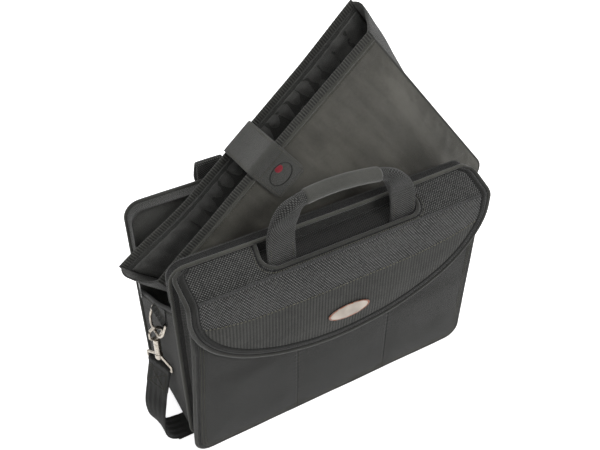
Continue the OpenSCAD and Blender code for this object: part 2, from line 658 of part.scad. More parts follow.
// Children drawn on the left side, and mirrored to the right and lowered for s > 0
module on_side(s) translate([0, 0, s > 0 ? -ring_drop : 0]) mirror([s > 0 ? 1 : 0, 0, 0]) children();
module at_bar() translate([ring_x, ring_y, ring_z]) children();
module at_swivel() translate([bow_x, ring_y, ring_z]) children();

module d_rings() color("#b9b9bb") for (s = [-1, 1]) on_side(s) at_bar() rotate([0, ring_hang, 0]) {
    rod_y(ring_wire, 2 * ring_half - 2 * ring_wire);
    for (e = [-1, 1]) {
        y = ring_half;
        translate([0, e * (y - ring_wire), 0]) sphere(d = ring_wire);
        translate([0, e * (y - ring_wire), -ring_bow + ring_arc]) cylinder(h = ring_bow - ring_arc, d = ring_wire);
        translate([0, e * (y - ring_wire - ring_arc), -ring_bow + ring_arc]) rotate([0, 90, 0])
            rotate([0, 0, e > 0 ? 0 : -90]) rotate_extrude(angle = 90) translate([ring_arc, 0]) circle(d = ring_wire);
    }
    translate([0, 0, -ring_bow]) rod_y(ring_wire, 2 * (ring_half - ring_wire - ring_arc));
}

// Webbing tab: sewn to the gusset below the mouth, with a barrel round the ring's bar
tab_wall = 2;                              // webbing round a ring's bar
tab_half = ring_half - ring_wire - tab_wall;
tab_sewn = 2;                              // below the mouth's edge
module ring_tabs() color("#2c2c2c") for (s = [-1, 1]) difference() {
    intersection() {
        union() {
            on_side(s) at_bar() rod_y(ring_wire + 2 * tab_wall, 2 * tab_half);
            on_side(s) translate([-side_face - sew_gap - tab_plate_t, ring_y - tab_half, ring_z - 2])
                cube([tab_plate_t, 2 * tab_half, 60]);
        }
        side_profile([[middle_at(0) - 40, floor_low], [rear_at(0) + 40, floor_low],
            [rear_at(mouth_rear_h) - rear_seam, mouth_rear_h - tab_sewn],
            [middle_at(mouth_front_h) + middle_seam, mouth_front_h - tab_sewn - (s > 0 ? mouth_drop : 0)],
            [middle_at(0) - 40, mouth_front_h - tab_sewn - (s > 0 ? mouth_drop : 0)]]);
    }
    on_side(s) at_bar() rod_y(ring_wire + 0.4, far);
}

// Snap hook: an eye that is open on its outer side, a barrel and a swivel post
head_h = 2.5;                              // the swivel post's head, under the loop's collar
gate_turn = 35;                            // the gate's hinge, below the eye's outermost point
gate_d = hook_wire - 0.8;
gate_x = -eye_mid_r * cos(gate_turn);
gate_z = -eye_mid_r * sin(gate_turn);
gate_l = -2 * gate_z - 1;
eye_start = 180 + gate_turn + asin((gate_d / 2 + collar_gap) / eye_mid_r) + 0.3;
eye_end = 180 - gate_turn - 10;
module snap_hook() at_swivel() translate([0, 0, eye_dz]) {
    rotate([90, 0, 0]) rotate([0, 0, eye_start])
        rotate_extrude(angle = 360 + eye_end - eye_start) translate([eye_mid_r, 0]) circle(d = hook_wire);
    translate([0, 0, barrel_low]) cylinder(h = barrel_l, d = barrel_d);
    head_top = barrel_low - collar_h - 2 * collar_gap;
    translate([0, 0, head_top - head_h / 2]) cylinder(h = barrel_low - head_top + head_h, d = post_d);
    translate([0, 0, head_top - head_h]) cylinder(h = head_h, d = post_d + 3);
}
module snap_gate() at_swivel() translate([gate_x, 0, eye_dz + gate_z]) {
    sphere(d = gate_d);
    cylinder(h = gate_l, d = gate_d);
}

module left_hook() color("#c4c4c6") on_side(-1) snap_hook();
module right_hook() color("#c4c4c6") on_side(1) snap_hook();
module left_gate() color("#adadaf") on_side(-1) snap_gate();
module right_gate() color("#adadaf") on_side(1) snap_gate();

// Wire loop under the swivel: a collar, two sloping arms, two posts and the strap's bar
loop_post = 7;                             // upright ends of the loop
arm_start = 3;                             // where its arms leave the collar, off the swivel's axis
arm_fall = loop_fall - loop_post;
arm_run = loop_half - arm_start;
module at_loop() at_swivel() translate([0, 0, loop_dz]) rotate([0, 0, loop_yaw]) children();
module strap_loops() color("#bdbdbf") for (s = [-1, 1]) on_side(s) at_loop() {
    difference() {
        union() {
            cylinder(h = collar_h, d = post_d + 5, center = true);
            for (e = [-1, 1]) translate([0, e * arm_start, 0]) rotate([-e * (180 - atan(arm_run / arm_fall)), 0, 0])
                cylinder(h = sqrt(arm_run * arm_run + arm_fall * arm_fall), d = loop_wire);
        }
        cylinder(h = 3 * collar_h, d = post_d + 0.6, center = true);
    }
    for (e = [-1, 1]) {
        translate([0, e * loop_half, -arm_fall]) sphere(d = loop_wire);
        translate([0, e * loop_half, -loop_fall]) cylinder(h = loop_post, d = loop_wire);
        translate([0, e * loop_half, -loop_fall]) sphere(d = loop_wire);
    }
    translate([0, 0, -loop_fall]) rod_y(loop_wire, 2 * loop_half);
}

// The strap's sewn end: a barrel round the loop's bar and two layers below it
module at_strap_end() at_loop() translate([0, 0, -loop_fall]) rotate([0, strap_fall, 0]) children();
module strap_ends() color("#3f3f3e") for (s = [-1, 1]) on_side(s) at_strap_end() difference() {
    union() {
        rod_y(loop_wire + 2 * tab_wall, strap_w - 1);
        translate([-strap_t, -(strap_w - 1) / 2, -end_l]) cube([2 * strap_t, strap_w - 1, end_l]);
    }
    rod_y(loop_wire + 0.4, far);
}

// Adjuster on the right strap end: two end bars outside, one bar inside, two rails
slider_half = 11;
module strap_slider() color("#2a2a2b") on_side(1) at_strap_end() translate([0, 0, -22]) {
    for (z = [-slider_half, slider_half - 3]) translate([-strap_t - slide_gap - 2, -strap_w / 2 - 4, z])
        cube([2, strap_w + 8, 3]);
    translate([strap_t + slide_gap, -strap_w / 2 - 4, -1.5]) cube([2, strap_w + 8, 3]);
    for (e = [-1, 1]) translate([-strap_t - slide_gap - 2, e * (strap_w / 2 + 2.25) - 1.75, -slider_half])
        cube([2 * strap_t + 2 * slide_gap + 4, 3.5, 2 * slider_half]);
}

// The shoulder strap: flat webbing swept along its route
function unit(v) = v / norm(v);
route = concat(left_route, right_route);
widths = concat(left_widths, right_widths);
function heading(i) = unit(route[min(i + 1, len(route) - 1)] - route[max(i - 1, 0)]);
function strap_ring(i) = i == fold_ring
    ? ring_corners(route[i], widths[i] / 100 * strap_w / 2, fold_out * strap_t / 2)
    : let(h = heading(i), w = unit(widths[i] - h * (widths[i] * h)) * strap_w / 2)
        ring_corners(route[i], w, unit(cross(h, w)) * strap_t / 2);
function ring_corners(c, w, n) = [c - w - n, c + w - n, c + w + n, c - w + n];
module shoulder_strap() color("#3f3f3e") {
    rings = [for (i = [0:len(route) - 1]) strap_ring(i)];
    points = [for (r = rings, p = r) p];
    last = 4 * (len(route) - 1);
    sides = [for (i = [0:len(route) - 2], k = [0:3]) let(a = 4 * i + k, b = 4 * i + (k + 1) % 4) [a, b, b + 4, a + 4]];
    polyhedron(points, concat([[3, 2, 1, 0]], sides, [[last, last + 1, last + 2, last + 3]]));
}

// ---- main zip sliders ----------------------------------------------------

// In the rear panel's plane, on the left run of its teeth, at rest at the zip's low end
teeth_x = -(bag_w / 2 - inset - zip_tape_t / 2);
teeth_y = -seam - zip_band_w + zip_teeth / 2;
slider_z = zip_low + slider_l / 2 + 1;
module at_zip(s) on_plane(rear_y, rear_tilt) mirror([s > 0 ? 1 : 0, 0, 0]) translate([teeth_x, teeth_y, slider_z]) children();
module zip_slider() {
    half = zip_teeth / 2 + slide_gap;
    translate([-half - slider_wall, -half - slider_wall, -slider_l / 2]) cube([slider_wall, 2 * half + slider_wall, slider_l]);
    translate([half, -half - slider_wall, -slider_l / 2]) cube([slider_wall, 2 * half + slider_wall, slider_l]);
    translate([-half - slider_wall, -half - slider_wall, -slider_l / 2]) cube([2 * half + 2 * slider_wall, slider_wall, slider_l]);
}
module zip_puller() {
    x = -(zip_teeth / 2 + slide_gap + slider_wall + turn_gap + puller_t);
    difference() {
        union() {
            translate([x, -puller_w / 2, -puller_l]) cube([puller_t, puller_w, puller_l]);
            translate([x + puller_t / 2, 0, 0]) rod_y(puller_t, puller_w);
        }
        translate([x - 1, -puller_w / 4, -0.9 * puller_l]) cube([puller_t + 2, puller_w / 2, puller_l / 2]);
    }
}
module left_zip_slider() color("#77777a") at_zip(-1) zip_slider();
module right_zip_slider() color("#77777a") at_zip(1) zip_slider();
module left_zip_puller() color("#88888b") at_zip(-1) zip_puller();
module right_zip_puller() color("#88888b") at_zip(1) zip_puller();

front_panel();
front_pocket();
front_piping();
front_gusset();
front_top();
middle_panel();
middle_piping();
base_panel();
base_board();
main_gusset_left();
main_gusset_right();
mouth_bindings();
rear_panel();
rear_piping();
rear_zip();
middle_zip();
organiser_panel();
flap_top();
slot_binding();
front_handle_anchors();
rear_handle_anchors();
ring_tabs();
d_rings();
strap_loops();
strap_ends();
shoulder_strap();
pocket_loop_patches();
pocket_zip();
flap_panel();
flap_lining();
flap_binding();
badge_plate();
flap_hook_patches();
front_handle_web();
front_handle_wrap();
rear_handle_web();
rear_handle_wrap();
sleeve_front();
sleeve_back();
sleeve_gusset();
sleeve_front_pad();
sleeve_back_pad();
sleeve_bindings();
sleeve_tab_anchor();
sleeve_loop_patch();
sleeve_tab();
tab_badge();
tab_hook_patch();
left_hook();
left_gate();
right_hook();
right_gate();
strap_slider();
left_zip_slider();
left_zip_puller();
right_zip_slider();
right_zip_puller();
pocket_zip_slider();
pocket_zip_puller();
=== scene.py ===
# %% [markdown]
# # Briefcase with a padded sleeve
#
# The real bag is sewn from nylon panels, foam and webbing, with a flap over the front,
# padded handles, a shoulder strap and a padded sleeve that slides out. The CAD model
# gives every place and size. This script dresses it: each soft CAD solid is replaced
# by a sewn, padded or woven piece that lies in the same space. The metal and plastic
# parts are exact already, so they keep their CAD shape and get better materials.
#
# Lengths are millimetres until a mesh is made. X is the bag's width, the flap faces -Y.

import json
from math import atan, copysign, cos, exp, pi, radians, sin, sqrt

import bmesh
import bpy
from mathutils import Matrix, Vector, noise

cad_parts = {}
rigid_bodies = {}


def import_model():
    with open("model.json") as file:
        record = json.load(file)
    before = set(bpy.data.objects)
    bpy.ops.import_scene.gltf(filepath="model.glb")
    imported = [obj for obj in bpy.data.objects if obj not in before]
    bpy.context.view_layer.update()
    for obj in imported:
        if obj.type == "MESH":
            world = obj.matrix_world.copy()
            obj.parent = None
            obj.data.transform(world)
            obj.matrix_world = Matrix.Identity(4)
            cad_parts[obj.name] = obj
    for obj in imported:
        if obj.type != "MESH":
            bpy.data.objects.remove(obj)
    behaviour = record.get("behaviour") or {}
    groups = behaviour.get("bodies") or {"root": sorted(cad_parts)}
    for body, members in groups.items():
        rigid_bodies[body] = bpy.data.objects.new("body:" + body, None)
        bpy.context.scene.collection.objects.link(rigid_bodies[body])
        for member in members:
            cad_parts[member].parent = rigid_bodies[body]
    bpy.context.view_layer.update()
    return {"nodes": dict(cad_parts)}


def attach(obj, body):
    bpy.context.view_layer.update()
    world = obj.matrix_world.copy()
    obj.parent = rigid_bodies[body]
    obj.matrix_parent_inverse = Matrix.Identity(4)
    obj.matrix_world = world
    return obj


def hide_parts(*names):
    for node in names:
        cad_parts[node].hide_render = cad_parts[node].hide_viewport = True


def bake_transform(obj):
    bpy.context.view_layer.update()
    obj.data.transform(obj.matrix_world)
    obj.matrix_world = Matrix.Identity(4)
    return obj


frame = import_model()
MM = 0.001

# %% [markdown]
# ## Camera
# The photograph looks down on the bag's front left corner. A camera could be pointed by
# a constraint, but a matrix from three angles says exactly how it stands: azimuth and
# elevation place it round the bag, and the roll turns the picture by a hair. All of them
# and the lens were solved from points of the photograph.

# %% Camera
AZIMUTH, ELEVATION, ROLL = radians(-30.5), radians(40.3), radians(0.7)
CAMERA_PLACE, LENS, SENSOR = (-0.403, -0.653, 0.885), 48.18, 36.0


def make_camera():
    back = Vector((sin(AZIMUTH) * cos(ELEVATION), -cos(AZIMUTH) * cos(ELEVATION),
                   sin(ELEVATION)))
    right = Vector((0, 0, 1)).cross(back).normalized()
    up = back.cross(right)
    side = right * cos(ROLL) + up * sin(ROLL)
    top = up * cos(ROLL) - right * sin(ROLL)
    data = bpy.data.cameras.new("camera")
    data.lens, data.sensor_width, data.sensor_fit = LENS, SENSOR, "HORIZONTAL"
    camera = bpy.data.objects.new("camera", data)
    turn = Matrix((side, top, back)).transposed().to_4x4()
    camera.matrix_world = Matrix.Translation(CAMERA_PLACE) @ turn
    bpy.context.scene.collection.objects.link(camera)
    bpy.context.scene.camera = camera


make_camera()
bpy.context.scene.view_settings.view_transform = "Standard"
print(f"camera {Vector(CAMERA_PLACE).length:.2f} m from the bag's middle, lens {LENS} mm")

# %% [markdown]
# ## Lofts
# Cord, tape, webbing and padding are all long shapes with a changing section, so one tool
# makes them: a loft skins rings of points. Curves with a bevel could do the tubes, but not
# the flat tapes that twist, and a loft also lays out UVs in metres, so that a weave keeps
# its scale round every bend. Its normals are recalculated, so that faces point outwards.

# %% Lofts
def add_object(name, mesh):
    obj = bpy.data.objects.new(name, mesh)
    bpy.context.scene.collection.objects.link(obj)
    return obj


def smooth(obj, angle=42):
    obj.data.shade_smooth()
    obj.data.set_sharp_from_angle(angle=radians(angle))
    return obj


def loft(name, rings, closed=False, around=True, sharp=42, pivot=None):
    """pivot is a point behind an open sheet, so that its face points away from it."""
    n, k = len(rings), len(rings[0])
    spans, steps = (k if around else k - 1), (n if closed else n - 1)
    middle = rings[n // 2]
    across, along = [0.0], [0.0]
    for i in range(spans):
        across.append(across[-1] + (middle[(i + 1) % k] - middle[i]).length * MM)
    for j in range(steps):
        a, b = rings[j], rings[(j + 1) % n]
        along.append(along[-1] + sum((b[i] - a[i]).length for i in range(k)) / k * MM)
    faces, uvs = [], []
    for j in range(steps):
        low, high = j * k, (j + 1) % n * k
        for i in range(spans):
            far = (i + 1) % k
            faces.append((low + i, low + far, high + far, high + i))
            uvs += [(across[i], along[j]), (across[i + 1], along[j]),
                    (across[i + 1], along[j + 1]), (across[i], along[j + 1])]
    if around and not closed:
        faces += [tuple(range(k - 1, -1, -1)), tuple((n - 1) * k + i for i in range(k))]
        uvs += [(0.0, 0.0)] * (2 * k)
    mesh = bpy.data.meshes.new(name)
    mesh.from_pydata([p * MM for ring_points in rings for p in ring_points], [], faces)
    layer = mesh.uv_layers.new(name="UVMap")
    for corner, uv in zip(layer.data, uvs):
        corner.uv = uv
    turned = bmesh.new()
    turned.from_mesh(mesh)
    bmesh.ops.recalc_face_normals(turned, faces=turned.faces)
    if pivot is not None:
        behind = Vector(pivot) * MM
        side = sum(f.normal.dot(f.calc_center_median() - behind) * f.calc_area()
                   for f in turned.faces)
        if side < 0:
            bmesh.ops.reverse_faces(turned, faces=turned.faces)
    turned.to_mesh(mesh)
    turned.free()
    return smooth(add_object(name, mesh), sharp)

# %% [markdown]
# ## Finishing a mesh
# Solidify gives a cloth its thickness without building its back by hand. A piece keeps no
# live modifier: the evaluated result takes the old mesh's place.

# %% Finishing a mesh
def applied(obj):
    """Turns the live modifiers of an object into plain mesh."""
    graph = bpy.context.evaluated_depsgraph_get()
    mesh = bpy.data.meshes.new_from_object(obj.evaluated_get(graph))
    obj.modifiers.clear()
    obj.data = mesh
    mesh.name = obj.name
    return obj


def thicken(obj, thickness, offset=-1.0, inner=0):
    mod = obj.modifiers.new("thickness", "SOLIDIFY")
    mod.thickness, mod.offset, mod.material_offset = thickness * MM, offset, inner
    mod.use_even_offset = True


print("lofts are built in millimetres,", round(1 / MM), "to a metre")


# %% [markdown]
# ## Sections and tubes
# The section of a tape is a flat rounded box and that of a cord a circle. A superellipse
# gives both from one formula: power 2 is round, and higher powers square it up. A tube
# carries such a ring along a path and swells a little with smooth noise, because sewn
# cord is never a perfect pipe.

# %% Sections and tubes
def ring(centre, half_a, half_b, power=2.0, count=12):
    points = []
    for i in range(count):
        c, s = cos(2 * pi * i / count), sin(2 * pi * i / count)
        a, b = copysign(abs(c) ** (2 / power), c), copysign(abs(s) ** (2 / power), s)
        points.append(centre + half_a * a + half_b * b)
    return points


def tangent(path, i, closed):
    n = len(path)
    before = path[i - 1] if closed or i else path[0]
    after = path[(i + 1) % n] if closed or i < n - 1 else path[-1]
    return (after - before).normalized()


def tube(name, path, radius, closed=False, count=10, lump=0.04, flat=1.0, sharp=42):
    rings, side = [], None
    for i, p in enumerate(path):
        along = tangent(path, i, closed)
        side = side or along.orthogonal()
        side = (side - along * side.dot(along)).normalized()
        r = radius * (1 + lump * noise.noise(p * 0.06))
        rings.append(ring(p, side * r, along.cross(side) * r * flat, 2.0, count))
    return loft(name, rings, closed, sharp=sharp)


print("points of a ring:", len(ring(Vector(), Vector((1, 0, 0)), Vector((0, 1, 0)))))

# %% [markdown]
# ## Paths and soft numbers
# Seams run along polylines, so these helpers resample them in even steps or run a smooth
# curve through a few points. `ease` fades from 0 to 1 without a kink, which is how cloth
# goes from held to free, and `wave` is smooth noise for the unevenness of hand work.
# Blender's own noise is used, because it gives the same values on every run.

# %% Paths and soft numbers
def even(path, step, closed=False):
    """The same path in steps of about one length."""
    points = path + [path[0]] if closed else path
    out = []
    for a, b in zip(points, points[1:]):
        parts = max(1, round((b - a).length / step))
        out += [a.lerp(b, k / parts) for k in range(parts)]
    return out if closed else out + [points[-1]]


def spline(points, parts=5):
    """A smooth curve through points (Catmull-Rom)."""
    out = []
    for i in range(len(points) - 1):
        a, b = points[max(i - 1, 0)], points[i]
        c, d = points[i + 1], points[min(i + 2, len(points) - 1)]
        for k in range(parts):
            t = k / parts
            out.append(0.5 * ((2 * b) + (c - a) * t + (2 * a - 5 * b + 4 * c - d) * t * t
                              + (3 * b - a - 3 * c + d) * t * t * t))
    return out + [points[-1].copy()]


def ease(x, low=0.0, high=1.0):
    t = min(max((x - low) / (high - low), 0.0), 1.0)
    return t * t * (3 - 2 * t)


def wave(p, scale, seed=0.0):
    """Smooth noise from -1 to 1 with waves of about the given length."""
    return noise.noise(Vector((p[0] / scale + seed, p[1] / scale - seed, p[2] / scale + 3 * seed)))


print("a fade at its half:", ease(0.5))

# %% [markdown]
# ## Panel outlines
# The bag has three stiff panels: front, middle and rear, each a rounded rectangle that
# leans about its lower piping. A drawing could be traced for each, but the gussets, zips
# and stitch rows all run along the same edges, so the outlines are functions. `under` runs
# round a panel's bottom from one side to the other, `over` round its top, and each point
# carries the direction that faces out of the panel. The bag's front spreads to the left
# towards its base, which `belly` adds.

# %% Panel outlines
PIPING_Z = PIPING_R = 2.5


def plane(y, tilt):
    """Places on a panel that leans about the piping at its foot."""
    c, s = cos(tilt), sin(tilt)

    def at(x, z, out=0.0):
        up = z - PIPING_Z
        return Vector((x, y + out * c + up * s, PIPING_Z + up * c - out * s))
    return at


FRONT_W, BAG_W, FRONT_H, BAG_H, REAR_H = 408, 420, 262, 288, 284
FRONT_Y, MIDDLE_Y, REAR_Y = -78, -54, 78
MIDDLE_LEAN, REAR_LEAN = 12 / 288, 16 / 284
PANEL_R, INSET = 22, 3.2
front_plane = plane(FRONT_Y, 0)
middle = plane(MIDDLE_Y, atan(MIDDLE_LEAN))
rear = plane(REAR_Y, atan(REAR_LEAN))

# %% [markdown]
# ## Spread of the front
# A full bag settles: the front section's lower left edge stands 10 mm further out than its
# top. Every piece of the front asks `front` for its place, so all of them spread together.

# %% Spread of the front
def belly(x, z):
    """The front section spreads to the left towards its base."""
    return -10 * ease(-x, 60, 204) * (1 - ease(z, 5, 215))


def front(x, z, out=0.0):
    return front_plane(x + belly(x, z), z, out)


def middle_y(z):
    return MIDDLE_Y + (z - PIPING_Z) * MIDDLE_LEAN


def rear_y(z):
    return REAR_Y + (z - PIPING_Z) * REAR_LEAN


print(f"spread at the lower left corner: {-belly(-FRONT_W / 2, 0):.0f} mm")

# %% [markdown]
# ## Edges of a panel
# A rounded rectangle is four quarter circles and the straights between them. Each point
# also keeps which way is out, so that a gusset or a zip can stand off from the edge.

# %% Edges of a panel
def arc(cx, cz, r, start, parts=8):
    turns = [radians(start + 90 * k / parts) for k in range(parts + 1)]
    return [(cx + r * cos(a), cz + r * sin(a), cos(a), sin(a)) for a in turns]


def dense(points, step):
    out = []
    for p, q in zip(points, points[1:]):
        parts = max(1, round(sqrt((p[0] - q[0]) ** 2 + (p[1] - q[1]) ** 2) / step))
        out += [tuple(p[m] + (q[m] - p[m]) * k / parts for m in range(4)) for k in range(parts)]
    return out + [points[-1]]


def under(w, d, left, right, step=6, r=PANEL_R):
    x = w / 2 - r
    return dense([(-w / 2 + d, left, -1, 0)] + arc(-x, r, r - d, 180) + arc(x, r, r - d, 270)
                 + [(w / 2 - d, right, 1, 0)], step)


def over(w, h, d, left, right, step=6, r=PANEL_R):
    x = w / 2 - r
    return dense([(-w / 2 + d, left, -1, 0)] + arc(-x, h - r, r - d, 90)[::-1]
                 + arc(x, h - r, r - d, 0)[::-1] + [(w / 2 - d, right, 1, 0)], step)


def edge_loop(w, h, d, step=6, r=PANEL_R):
    low = under(w, d, h / 2, h / 2, step, r)
    return low[:-1] + over(w, h, d, h / 2, h / 2, step, r)[::-1][:-1]


print("points round the rear panel:", len(edge_loop(BAG_W, REAR_H, INSET)))

# %% [markdown]
# ## Sums of nodes
# Every finish is a pattern worked out by nodes, because it then has the real scale on any
# piece. Linking Math nodes one by one is hard to read, so `Term` wraps a socket, and a sum
# or product of Terms adds the Math node. The reflected forms let `1 - mask` work too. Any
# other node comes from `Tree.node`: its type, its settings, then a value or a link for
# each socket.

# %% Sums of nodes
def colour(text):
    """A web colour as linear values."""
    parts = [int(text[k:k + 2], 16) / 255 for k in (1, 3, 5)]
    return [c / 12.92 if c <= 0.04045 else ((c + 0.055) / 1.055) ** 2.4 for c in parts] + [1.0]


class Term:
    """A socket of a node tree; sums and products of it add Math nodes."""

    def __init__(self, tree, socket):
        self.tree, self.socket = tree, socket

    def maths(self, operation, *others, first=None):
        values = (self, *others) if first is None else (first, self)
        return self.tree.node("ShaderNodeMath", {"operation": operation}, dict(enumerate(values)))

    def out(self, name):
        """Another output of the same node."""
        return Term(self.tree, self.socket.node.outputs[name])

    def __add__(self, other):
        return self.maths("ADD", other)

    def __radd__(self, other):
        return self.maths("ADD", first=other)

    def __sub__(self, other):
        return self.maths("SUBTRACT", other)

    def __rsub__(self, other):
        return self.maths("SUBTRACT", first=other)

    def __mul__(self, other):
        return self.maths("MULTIPLY", other)

    def __rmul__(self, other):
        return self.maths("MULTIPLY", first=other)

    def __truediv__(self, other):
        return self.maths("DIVIDE", other)

    def floor(self):
        return self.maths("FLOOR")

    def sine(self):
        return self.maths("SINE")

    def size(self):
        return self.maths("ABSOLUTE")

    def cycle(self, length):
        return self.maths("FLOORED_MODULO", length)

    def above(self, low, high):
        """A soft step from 0 to 1 between two values."""
        return self.tree.node("ShaderNodeMapRange", {"interpolation_type": "SMOOTHSTEP"},
                              {"Value": self, "From Min": low, "From Max": high}, "Result")

# %% [markdown]
# ## Any other node
# A node's settings often change which sockets it has, so `node` sets them first. A value is
# set on the socket and a Term is linked to it, by the same call.

# %% Any other node
class Tree:
    """A node tree of a material, the world or a repeat, filled by one method."""

    def __init__(self, data):
        self.nodes, self.links = data.nodes, data.links

    def join(self, value, socket):
        """A Term is linked to the socket, anything else is set on it."""
        if isinstance(value, Term):
            self.links.new(value.socket, socket)
        else:
            socket.default_value = value

    def node(self, kind, settings=None, sockets=None, output=0):
        """A new node: its settings first, then its sockets by name or number."""
        made = self.nodes.new(kind)
        for key, value in (settings or {}).items():
            setattr(made, key, value)
        for key, value in (sockets or {}).items():
            self.join(value, made.inputs[key])
        return Term(self, made.outputs[output]) if made.outputs else None


print("web colour #808080 as a linear value:", round(colour("#808080")[0], 3))

# %% [markdown]
# ## A material to paint on
# A finish on this bag needs few things: a coordinate in millimetres, noise of some size, a
# mix of two colours and a bump. `Paint` starts a material on the Principled surface and
# gives those short calls. Places come from Object coordinates along a direction, or from
# the piece's own UVs where the weave has to follow a bend. What is the same all over a
# piece is set on the surface's own socket.

# %% A material to paint on
PER_METRE = 1000


class Paint(Tree):
    """A new material with a Principled surface and short calls for its nodes."""

    def __init__(self, name):
        self.material = bpy.data.materials.new(name)
        self.material.use_nodes = True
        super().__init__(self.material.node_tree)
        self.surface = self.nodes["Principled BSDF"]
        self.place = self.node("ShaderNodeTexCoord", output="Object")

    def along(self, direction):
        """Millimetres along a direction of the bag."""
        return self.node("ShaderNodeVectorMath", {"operation": "DOT_PRODUCT"},
                         {0: self.place, 1: Vector(direction) * PER_METRE}, "Value")

    def uv(self):
        """Millimetres across and along the cloth."""
        flat = self.node("ShaderNodeSeparateXYZ", None, {0: self.place.out("UV")})
        return [flat.out(k) * PER_METRE for k in (0, 1)]

    def noise(self, size, detail=3.0, rough=0.55):
        """Noise from 0 to 1 with clouds of about the given size in millimetres."""
        sockets = {"Scale": PER_METRE / size, "Detail": detail, "Roughness": rough,
                   "Vector": self.place}
        return self.node("ShaderNodeTexNoise", None, sockets, "Fac")

    def spot(self, a, b):
        return self.node("ShaderNodeCombineXYZ", None, {0: a, 1: b})

    def cloud(self, a, b, detail=3.0):
        """Noise over two coordinates that are stretched as they please."""
        sockets = {"Vector": self.spot(a, b), "Scale": 1.0, "Detail": detail}
        return self.node("ShaderNodeTexNoise", None, sockets, "Fac")

    def speckle(self, a, b):
        """A random value for each cell of two whole numbers."""
        return self.node("ShaderNodeTexWhiteNoise", {"noise_dimensions": "2D"},
                         {"Vector": self.spot(a, b)}, "Value")

    def mix(self, amount, first, second):
        """The colour between two colours; 0, 6 and 7 are the node's colour sockets."""
        return self.node("ShaderNodeMix", {"data_type": "RGBA"},
                         {0: amount, 6: first, 7: second}, 2)

    def bump(self, height, depth):
        """Dents by a height pattern whose full step is depth millimetres."""
        sockets = {"Strength": 1.0, "Distance": depth * MM, "Height": height}
        self.feed("Normal", self.node("ShaderNodeBump", None, sockets, "Normal"))

    def set(self, **values):
        for key, value in values.items():
            self.surface.inputs[key.replace("_", " ")].default_value = value

    def feed(self, key, term):
        self.join(term, self.surface.inputs[key])

# %% [markdown]
# ## Weaves
# Seen close, the bag is five kinds of cloth: plain nylon, ribbed tape, twill piping, coarse
# lattice weave and webbing with chevrons. A photograph of cloth would do, but a pattern of
# sines at the thread's real pitch stays sharp and repeats nowhere. The same height gives
# the colour, light on the threads and dark between them, and the bump. Two noises, broad
# and fine, add the unevenness of worn cloth, and a sheen gives its soft edge light.

# %% Weaves
def weave(kind, a, b, pitch):
    """Height from 0 to 1 of a woven pattern at fabric coordinates a and b."""
    u, v = a / pitch, b / pitch
    if kind in ("rib", "bars"):
        return ((u if kind == "rib" else v) * (2 * pi)).sine() * 0.5 + 0.5
    if kind == "lattice":
        shift = (v.floor() * 0.5).cycle(1.0)
        return (((u * 0.57 + shift) * pi).sine() * (v * pi).sine()).size().above(0.15, 0.95)
    if kind == "twill":
        return ((u + v * 0.5) * (2 * pi)).sine() * 0.35 + (v * (4 * pi)).sine() * 0.15 + 0.5
    if kind == "webbing":
        chevron = (u / 8).cycle(1.0) - 0.5
        ridges = ((v + chevron.size() * 5) * (2 * pi)).sine()
        return ridges * 0.4 + (u * (2 * pi)).sine() * 0.1 + 0.5
    check = (u.floor() + v.floor()).cycle(2.0)
    over_u, over_v = (u * pi).sine().size(), (v * pi).sine().size()
    return over_u * check + over_v * (1 - check)

# %% [markdown]
# ## A cloth finish
# A cloth finish is a weave plus wear: broad clouds where it has rubbed, fine grain in the
# thread and, on some cloths, single brighter specks. The gloss is kept low, because nylon
# seen from above should not mirror the white background.

# %% A cloth finish
SHEEN_SPREAD, CLOTH_GLOSS = 0.45, 0.14


def fabric(name, dark, light, pitch=1.0, kind="plain", axes=None, speck=0.0, bright="#8a8a86",
           rough=0.82, sheen=0.22, depth=0.25, blotch=0.35, crease=0.5):
    paint = Paint(name)
    a, b = [paint.along(d) for d in axes] if axes else paint.uv()
    height = weave(kind, a, b, pitch)
    broad = paint.noise(70, 3).above(0.3, 0.7)
    fine = paint.noise(5, 4)
    tone = height * 0.55 + broad * blotch * 0.5 + fine * 0.35
    base = paint.mix(tone.above(0.05, 1.15), colour(dark), colour(light))
    if speck:
        dot = paint.speckle((a / pitch).floor(), (b / pitch).floor())
        dot = dot.above(1 - speck, 1 - speck / 3)
        base = paint.mix(dot * height, base, colour(bright))
    paint.feed("Base Color", base)
    paint.feed("Roughness", fine * 0.2 + (rough - 0.1))
    paint.set(Sheen_Weight=sheen, Sheen_Roughness=SHEEN_SPREAD, Specular_IOR_Level=CLOTH_GLOSS)
    paint.bump(height + paint.noise(14, 2) * crease * 4, depth)
    return paint.material


print("gloss of every cloth:", CLOTH_GLOSS)

# %% [markdown]
# ## Pocket nylon
# The patch pocket is the bag's largest calm face: fine dark nylon that draws together
# along two sewn divisions. Real puckers could be modelled, but they are under a
# millimetre deep, so the material knows where the divisions run and adds a groove there,
# with short waves across it that fade out within a centimetre. Groove and waves are
# bumps and also painted shade: the tone is darker in the groove and follows the waves.

# %% Pocket nylon
POCKET_SEAM = 68


